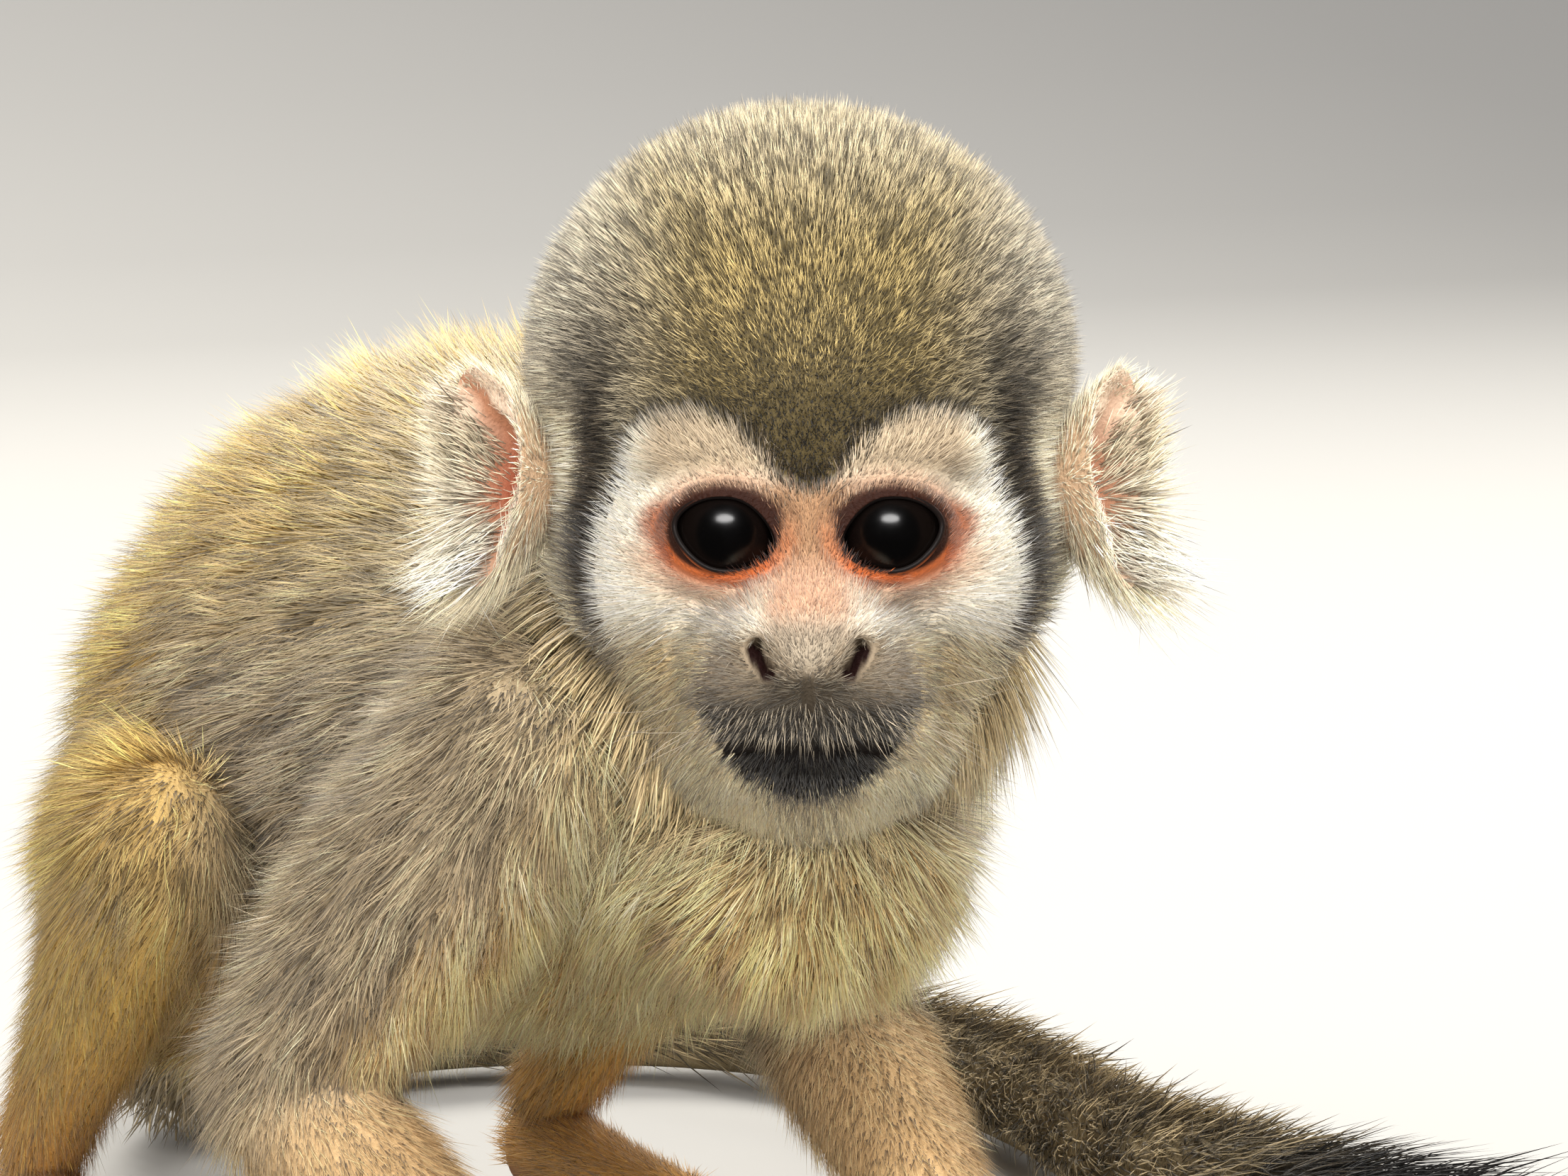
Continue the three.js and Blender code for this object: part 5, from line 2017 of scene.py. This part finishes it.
@dataclass
class BodyCoat:
    """The hair of the body, its limbs and its tail."""

    skin: Object
    stand: Stand
    marks: BodyMarkings
    head: HeadForm

    def tufts(self, seed: int = 11) -> Tufts:
        """Root, lay and colour every tuft of the body.

        Args:
            seed: Which coat.

        Returns:
            The tufts.
        """
        ground = Ground(self.skin)
        centre = self.stand.to_body(ground.centres)
        weight, _, _ = self.marks.near(centre)
        density = np.array([tube.density for tube in self.marks.tubes]) @ weight
        density = density * (1 + 0.6 * ramp(centre[:, 1], 60, 10) * self.marks.part(weight, "trunk"))
        inside = self.head.distance(self.stand.to_head(ground.centres)) < -3
        normal = unit(ground.normals.mean(axis=1))
        under = (ground.centres[:, 2] < 2.2 * MM) | ((normal[:, 2] < -0.3) & (centre[:, 2] < 6))
        density = density * ~inside * ~under
        hidden = (normal[:, 2] < -0.55) & (centre[:, 1] > 20) & (centre[:, 2] < 60)
        density = density * np.where(hidden, 0.5, 1)
        root, normal, sheet = ground.scatter(density, seed)
        p = self.stand.to_body(root)
        length = self.marks.hair(p)
        lie = self.marks.lie(p, normal)
        weight, _, _ = self.marks.near(p)
        wool = self.marks.part(weight, "trunk", "upper_arm", "thigh")
        drift = 0.22 * sway(p, 22, seed) + 0.5 * wool * sway(p, 6, seed + 2)
        lie = unit(lie + drift[:, None] * np.cross(normal, lie))
        # curl waves the wool; tufts that stand up are also painted lighter and those that lie flat darker, a
        # painted light and shade of the clumps over the wool's own uneven tone
        curl = wool * sway(p, 5.5, seed + 1)
        black = 0.3 * (1 - ramp(normal[:, 2], -0.2, -0.6)) * (0.2 + 1.6 * specks(p, 1.8, seed))
        black = black * (1 - 0.75 * self.marks.part(weight, "neck"))
        black = black * (1 - 0.8 * self.marks.part(weight, "forearm", "shank"))
        lift = np.radians(np.interp(length, (5, 9, 14, 22), (20, 24, 24, 30)) + 12 * wool) * (1 + 0.4 * curl)
        rows = ticked(self.marks.colour(p, normal), seed, black, 1.4, 0.55)
        tufts = Tufts(
            root, normal, lie, length, np.interp(length, (5, 8, 14, 22), (0.22, 0.3, 0.25, 0.34)),
            lift, rows * (1 + 0.34 * curl)[:, None, None], sheet,
        )
        tufts.tousle(seed, 0.18)
        tufts.clump(9, 0.5)
        return tufts


@dataclass
class PawCoat:
    """The short hair on the back of one hand or foot."""

    skin: Object
    paw: PawSkin

    def tufts(self, seed: int) -> Tufts:
        """Root, lay and colour the tufts.

        Args:
            seed: Which coat.

        Returns:
            The tufts.
        """
        ground = Ground(self.skin)
        stand = self.paw.stand
        normal = unit(ground.normals.mean(axis=1))
        bare = self.paw.tips(stand.to_body(ground.centres))
        density = 3.6 * ramp(normal[:, 2], -0.45, 0.0) * (1 - ramp(bare, 0.35, 0.8))
        root, normal, sheet = ground.scatter(density, seed)
        p = stand.to_body(root)
        x, y = self.paw.plan.root
        lie = along_surface((p - np.array([x, y + 14, 8])) * np.array([1, 1, 0.5]), normal)
        behind = ramp(p[:, 1] - y, -10, 12)
        tufts = Tufts(
            root, normal, lie, 1.9 + 2.6 * behind, 0.17 + 0.1 * behind,
            np.full(len(p), math.radians(17)), ticked(np.tile(ORANGE, (len(p), 1)), seed, 0.05), sheet,
        )
        tufts.tousle(seed, 0.2)
        return tufts


# ---------------------------------------------------------------- the whole


@dataclass(frozen=True)
class Lamp:
    """An area light that faces the animal."""

    name: str
    place: Triple  # in metres
    power: float  # in watts
    size: Pair  # in metres
    tint: Triple
    mirrored: bool = False  # whether glossy surfaces reflect it

    def light(self, target: Vector) -> None:
        """Add the light, turned to the target."""
        bpy.ops.object.light_add(type="AREA", location=self.place)
        light = bpy.context.active_object
        light.name = self.name
        light.visible_glossy = self.mirrored
        light.data.energy = self.power
        light.data.shape = "ELLIPSE"
        light.data.size, light.data.size_y = self.size
        light.data.color = self.tint
        light.rotation_euler = (target - Vector(self.place)).to_track_quat("-Z", "Y").to_euler()


LAMPS = (
    Lamp("key", (0.45, -0.6, 1.35), 17, (0.7, 0.7), (1, 0.98, 0.94)),
    Lamp("low", (-0.3, -1.25, 0.14), 8, (1.0, 0.4), (1, 0.98, 0.93)),
    Lamp("catch", (-0.6, -1.0, 0.98), 16, (0.95, 0.42), (1, 0.99, 0.97), mirrored=True),
    Lamp("fill", (-1.2, -0.35, 0.6), 12, (1.2, 1.2), (1, 0.97, 0.93)),
    Lamp("back", (0.1, 1.1, 1.1), 24, (0.7, 0.7), (1, 0.97, 0.9), mirrored=True),
    Lamp("rim", (1.2, 0.35, 0.6), 10, (0.6, 0.6), (1, 0.98, 0.95), mirrored=True),
)


@dataclass
class Studio:
    """The floor, the lights and the camera."""

    stand: Stand
    middle: Triple = (0, 0, 0.07)  # what the lights face, in metres
    focal: float = 184.7
    distance: float = 900.0  # from the face to the camera
    turn: float = math.radians(30)  # the camera's, from straight ahead to the animal's right
    drop: float = math.radians(7)  # how steeply it looks down
    aim: Pair = (-2.7, -6.2)  # right and up from between the eyes

    def floor(self) -> Object:
        """A pale floor that curves up behind the animal."""
        floor = primitive(bpy.ops.mesh.primitive_grid_add, x_subdivisions=60, y_subdivisions=60, size=8)
        floor.name = "studio_floor"
        p = points_of(floor)
        p[:, 2] = 1.5 * ramp(p[:, 1], 1.2, 3.6)
        move_points(floor, p)
        smooth(floor)
        material = bpy.data.materials.new("studio_paper")
        material.use_nodes = True
        surface = material.node_tree.nodes["Principled BSDF"]
        surface.inputs["Base Color"].default_value = (0.42, 0.41, 0.39, 1)
        surface.inputs["Roughness"].default_value = 0.9
        floor.data.materials.append(material)
        floor.visible_glossy = False
        return floor

    def camera(self) -> None:
        """Add the camera, in front of the face and a little above it."""
        right = np.array([math.cos(self.turn), -math.sin(self.turn), 0])
        ahead = np.array([math.sin(self.turn), math.cos(self.turn), 0])
        look = ahead * math.cos(self.drop) - np.array([0, 0, math.sin(self.drop)])
        aim = self.stand.middle + self.aim[0] * right + self.aim[1] * np.cross(right, look)
        bpy.ops.object.camera_add(location=tuple((aim - look * self.distance) * MM))
        camera = bpy.context.active_object
        camera.name = "camera"
        camera.rotation_euler = Vector(look).to_track_quat("-Z", "Y").to_euler()
        camera.data.lens = self.focal
        camera.data.sensor_width = 36
        camera.data.clip_start = 0.01
        camera.data.clip_end = 20
        bpy.context.scene.camera = camera

    def build(self) -> None:
        """Build the studio."""
        self.floor()
        for lamp in LAMPS:
            lamp.light(Vector(self.middle))
        world = bpy.data.worlds.new("studio")
        world.use_nodes = True
        sky = world.node_tree.nodes["Background"]
        sky.inputs["Color"].default_value = (0.96, 0.96, 1, 1)
        sky.inputs["Strength"].default_value = 0.45
        world.cycles_visibility.glossy = False
        bpy.context.scene.world = world
        bpy.context.scene.view_settings.view_transform = "Standard"
        self.camera()


@dataclass
class Monkey:
    """The whole animal."""

    stand: Stand
    grain: bpy.types.NodeTree
    form: HeadForm = field(default_factory=HeadForm)
    marks: HeadMarkings = field(default_factory=HeadMarkings)
    finishes: dict[tuple[str, Slot], bpy.types.Material] = field(default_factory=dict)

    def keep(
        self, piece: Object, finish: Finish, slot: Slot, nodes: tuple[str, ...] = ()
    ) -> Object:
        """Give a piece its material, kept apart for each finish and slot, and its body.

        Args:
            piece: The piece.
            finish: How it looks.
            slot: The record's slot.
            nodes: The solids that it stands for.

        Returns:
            The piece.
        """
        key = (finish.name, slot)
        if key not in self.finishes:
            self.finishes[key] = finish.make(self.grain)
        piece.data.materials.clear()
        piece.data.materials.append(self.finishes[key])
        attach(piece, "root")
        if nodes:
            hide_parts(*nodes)
        log.info("%s: %d faces", piece.name, len(piece.data.polygons))
        return piece

    def lay(self, tufts: Tufts, name: str, slot: Slot, bends: int, limit: int = 195_000) -> None:
        """Mesh tufts in pieces that are each under the limit of triangles.

        Args:
            tufts: The tufts.
            name: The pieces' name.
            slot: The record's slot.
            bends: Rings between root and tip.
            limit: The most triangles in a piece.
        """
        each = 6 * bends + 4
        count = max(1, math.ceil(len(tufts) * each / limit))
        order = np.argsort(tufts.root[:, 0] + 0.4 * tufts.root[:, 1])
        for i, rows in enumerate(np.array_split(order, count)):
            mask = np.zeros(len(tufts), bool)
            mask[rows] = True
            label = name if count == 1 else f"{name}_{i + 1}"
            self.keep(tufts.pick(mask).mesh(label, bends), HAIR, slot)

    def head(self, body: Shell) -> None:
        """Build the head, its eyes, its ears and their hair, where it isn't inside the body."""
        eyes = [Eye(side, self.stand, self.form) for side in (1, -1)]
        hair = HeadHair(self.marks)
        skin = HeadSkin(self.stand, self.form, hair, eyes).build()
        self.keep(skin, HIDE, Slot.HEAD, ("head",))
        for eye in eyes:
            word = SIDES[eye.side]
            ball, rim = eye.ball(), eye.rim()
            ball.name, rim.name = f"eyeball_{word}", f"lid_rim_{word}"
            self.keep(ball, BALL, Slot.EYE, (f"eye_{word}",))
            self.keep(rim, LID_RIM, Slot.HEAD)
        grown = HeadCoat(skin, self.stand, self.form, hair, body)
        coat = grown.tufts()
        self.lay(grown.bristles(), "bristles", Slot.HEAD, 1)
        p = self.stand.to_head(coat.root)
        long = hair.length(p) > 6.2
        front = p[:, 1] < 16
        self.lay(coat.pick(front & ~long), "face_coat", Slot.HEAD, 0)
        self.lay(coat.pick(~front & ~long), "crown_coat", Slot.HEAD, 0)
        self.lay(coat.pick(long), "ruff_coat", Slot.THROAT, 1)
        turned = Ear(1, self.stand, half_width=8.2, place=(31.2, 22, -2.8), out=1.12, blush=0.5)
        for ear in (turned, Ear(-1, self.stand)):
            word = SIDES[ear.side]
            piece = self.keep(ear.build(), HIDE, Slot.EAR, (f"ear_{word}",))
            self.lay(EarCoat(piece, ear).tufts(20 + ear.side), f"ear_coat_{word}", Slot.HEAD, 1)

    def body(self, skin: Object, marks: BodyMarkings) -> None:
        """Give the body's skin its material, and build its coat and the hands and feet."""
        nodes = ["hips", "chest", "neck", *(f"tail_{i}" for i in range(1, 8))]
        for side in ("right", "left"):
            nodes += [f"{word}_{side}" for word in ("upper_arm", "forearm", "thigh", "shank")]
        self.keep(skin, HIDE, Slot.BACK, tuple(nodes))
        coat = BodyCoat(skin, self.stand, marks, self.form).tufts()
        weight, _, share = marks.near(self.stand.to_body(coat.root))
        nearest = weight.argmax(axis=0)
        tip = share[marks.rows("tail")[0]] >= TIP_FROM

        def on(*words: str) -> Array:
            """Which tufts are on the lengths whose names hold the words."""
            return np.isin(nearest, [row for word in words for row in marks.rows(word)])

        for name, slot, bends, mask in (
            ("throat_coat", Slot.THROAT, 1, on("neck")),
            ("tail_coat", Slot.GREY, 1, on("tail") & ~tip),
            ("tail_tip_coat", Slot.TAIL_TIP, 1, on("tail") & tip),
            ("back_coat", Slot.BACK, 0, on("trunk")),
            ("shoulder_coat", Slot.GREY, 0, on("upper_arm")),
            ("thigh_coat", Slot.GREY, 0, on("thigh")),
            ("limb_coat", Slot.GOLD, 0, on("forearm", "shank")),
        ):
            self.lay(coat.pick(mask), name, slot, bends)
        for i, plan in enumerate(paw_plans()):
            paw = PawSkin(plan, self.stand)
            piece = self.keep(paw.build(), HIDE, Slot.HAND, (plan.name,))
            self.keep(paw.nails(), NAIL, Slot.HAND)
            self.lay(PawCoat(piece, paw).tufts(40 + i), f"{plan.name}_coat", Slot.GOLD, 0)


def main() -> None:
    """Build every piece in order, then the studio."""
    logging.basicConfig(level=logging.INFO, format="%(relativeCreated)d ms %(message)s")
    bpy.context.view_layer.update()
    stand = Stand()
    monkey = Monkey(stand, grain_group())
    marks = BodyMarkings(body_tubes())
    body = BodySkin(stand, marks).build()
    log.info("body skin shaped")
    monkey.head(Shell(body, stand))
    monkey.body(body, marks)
    Studio(stand).build()


if __name__ == "__main__":
    main()
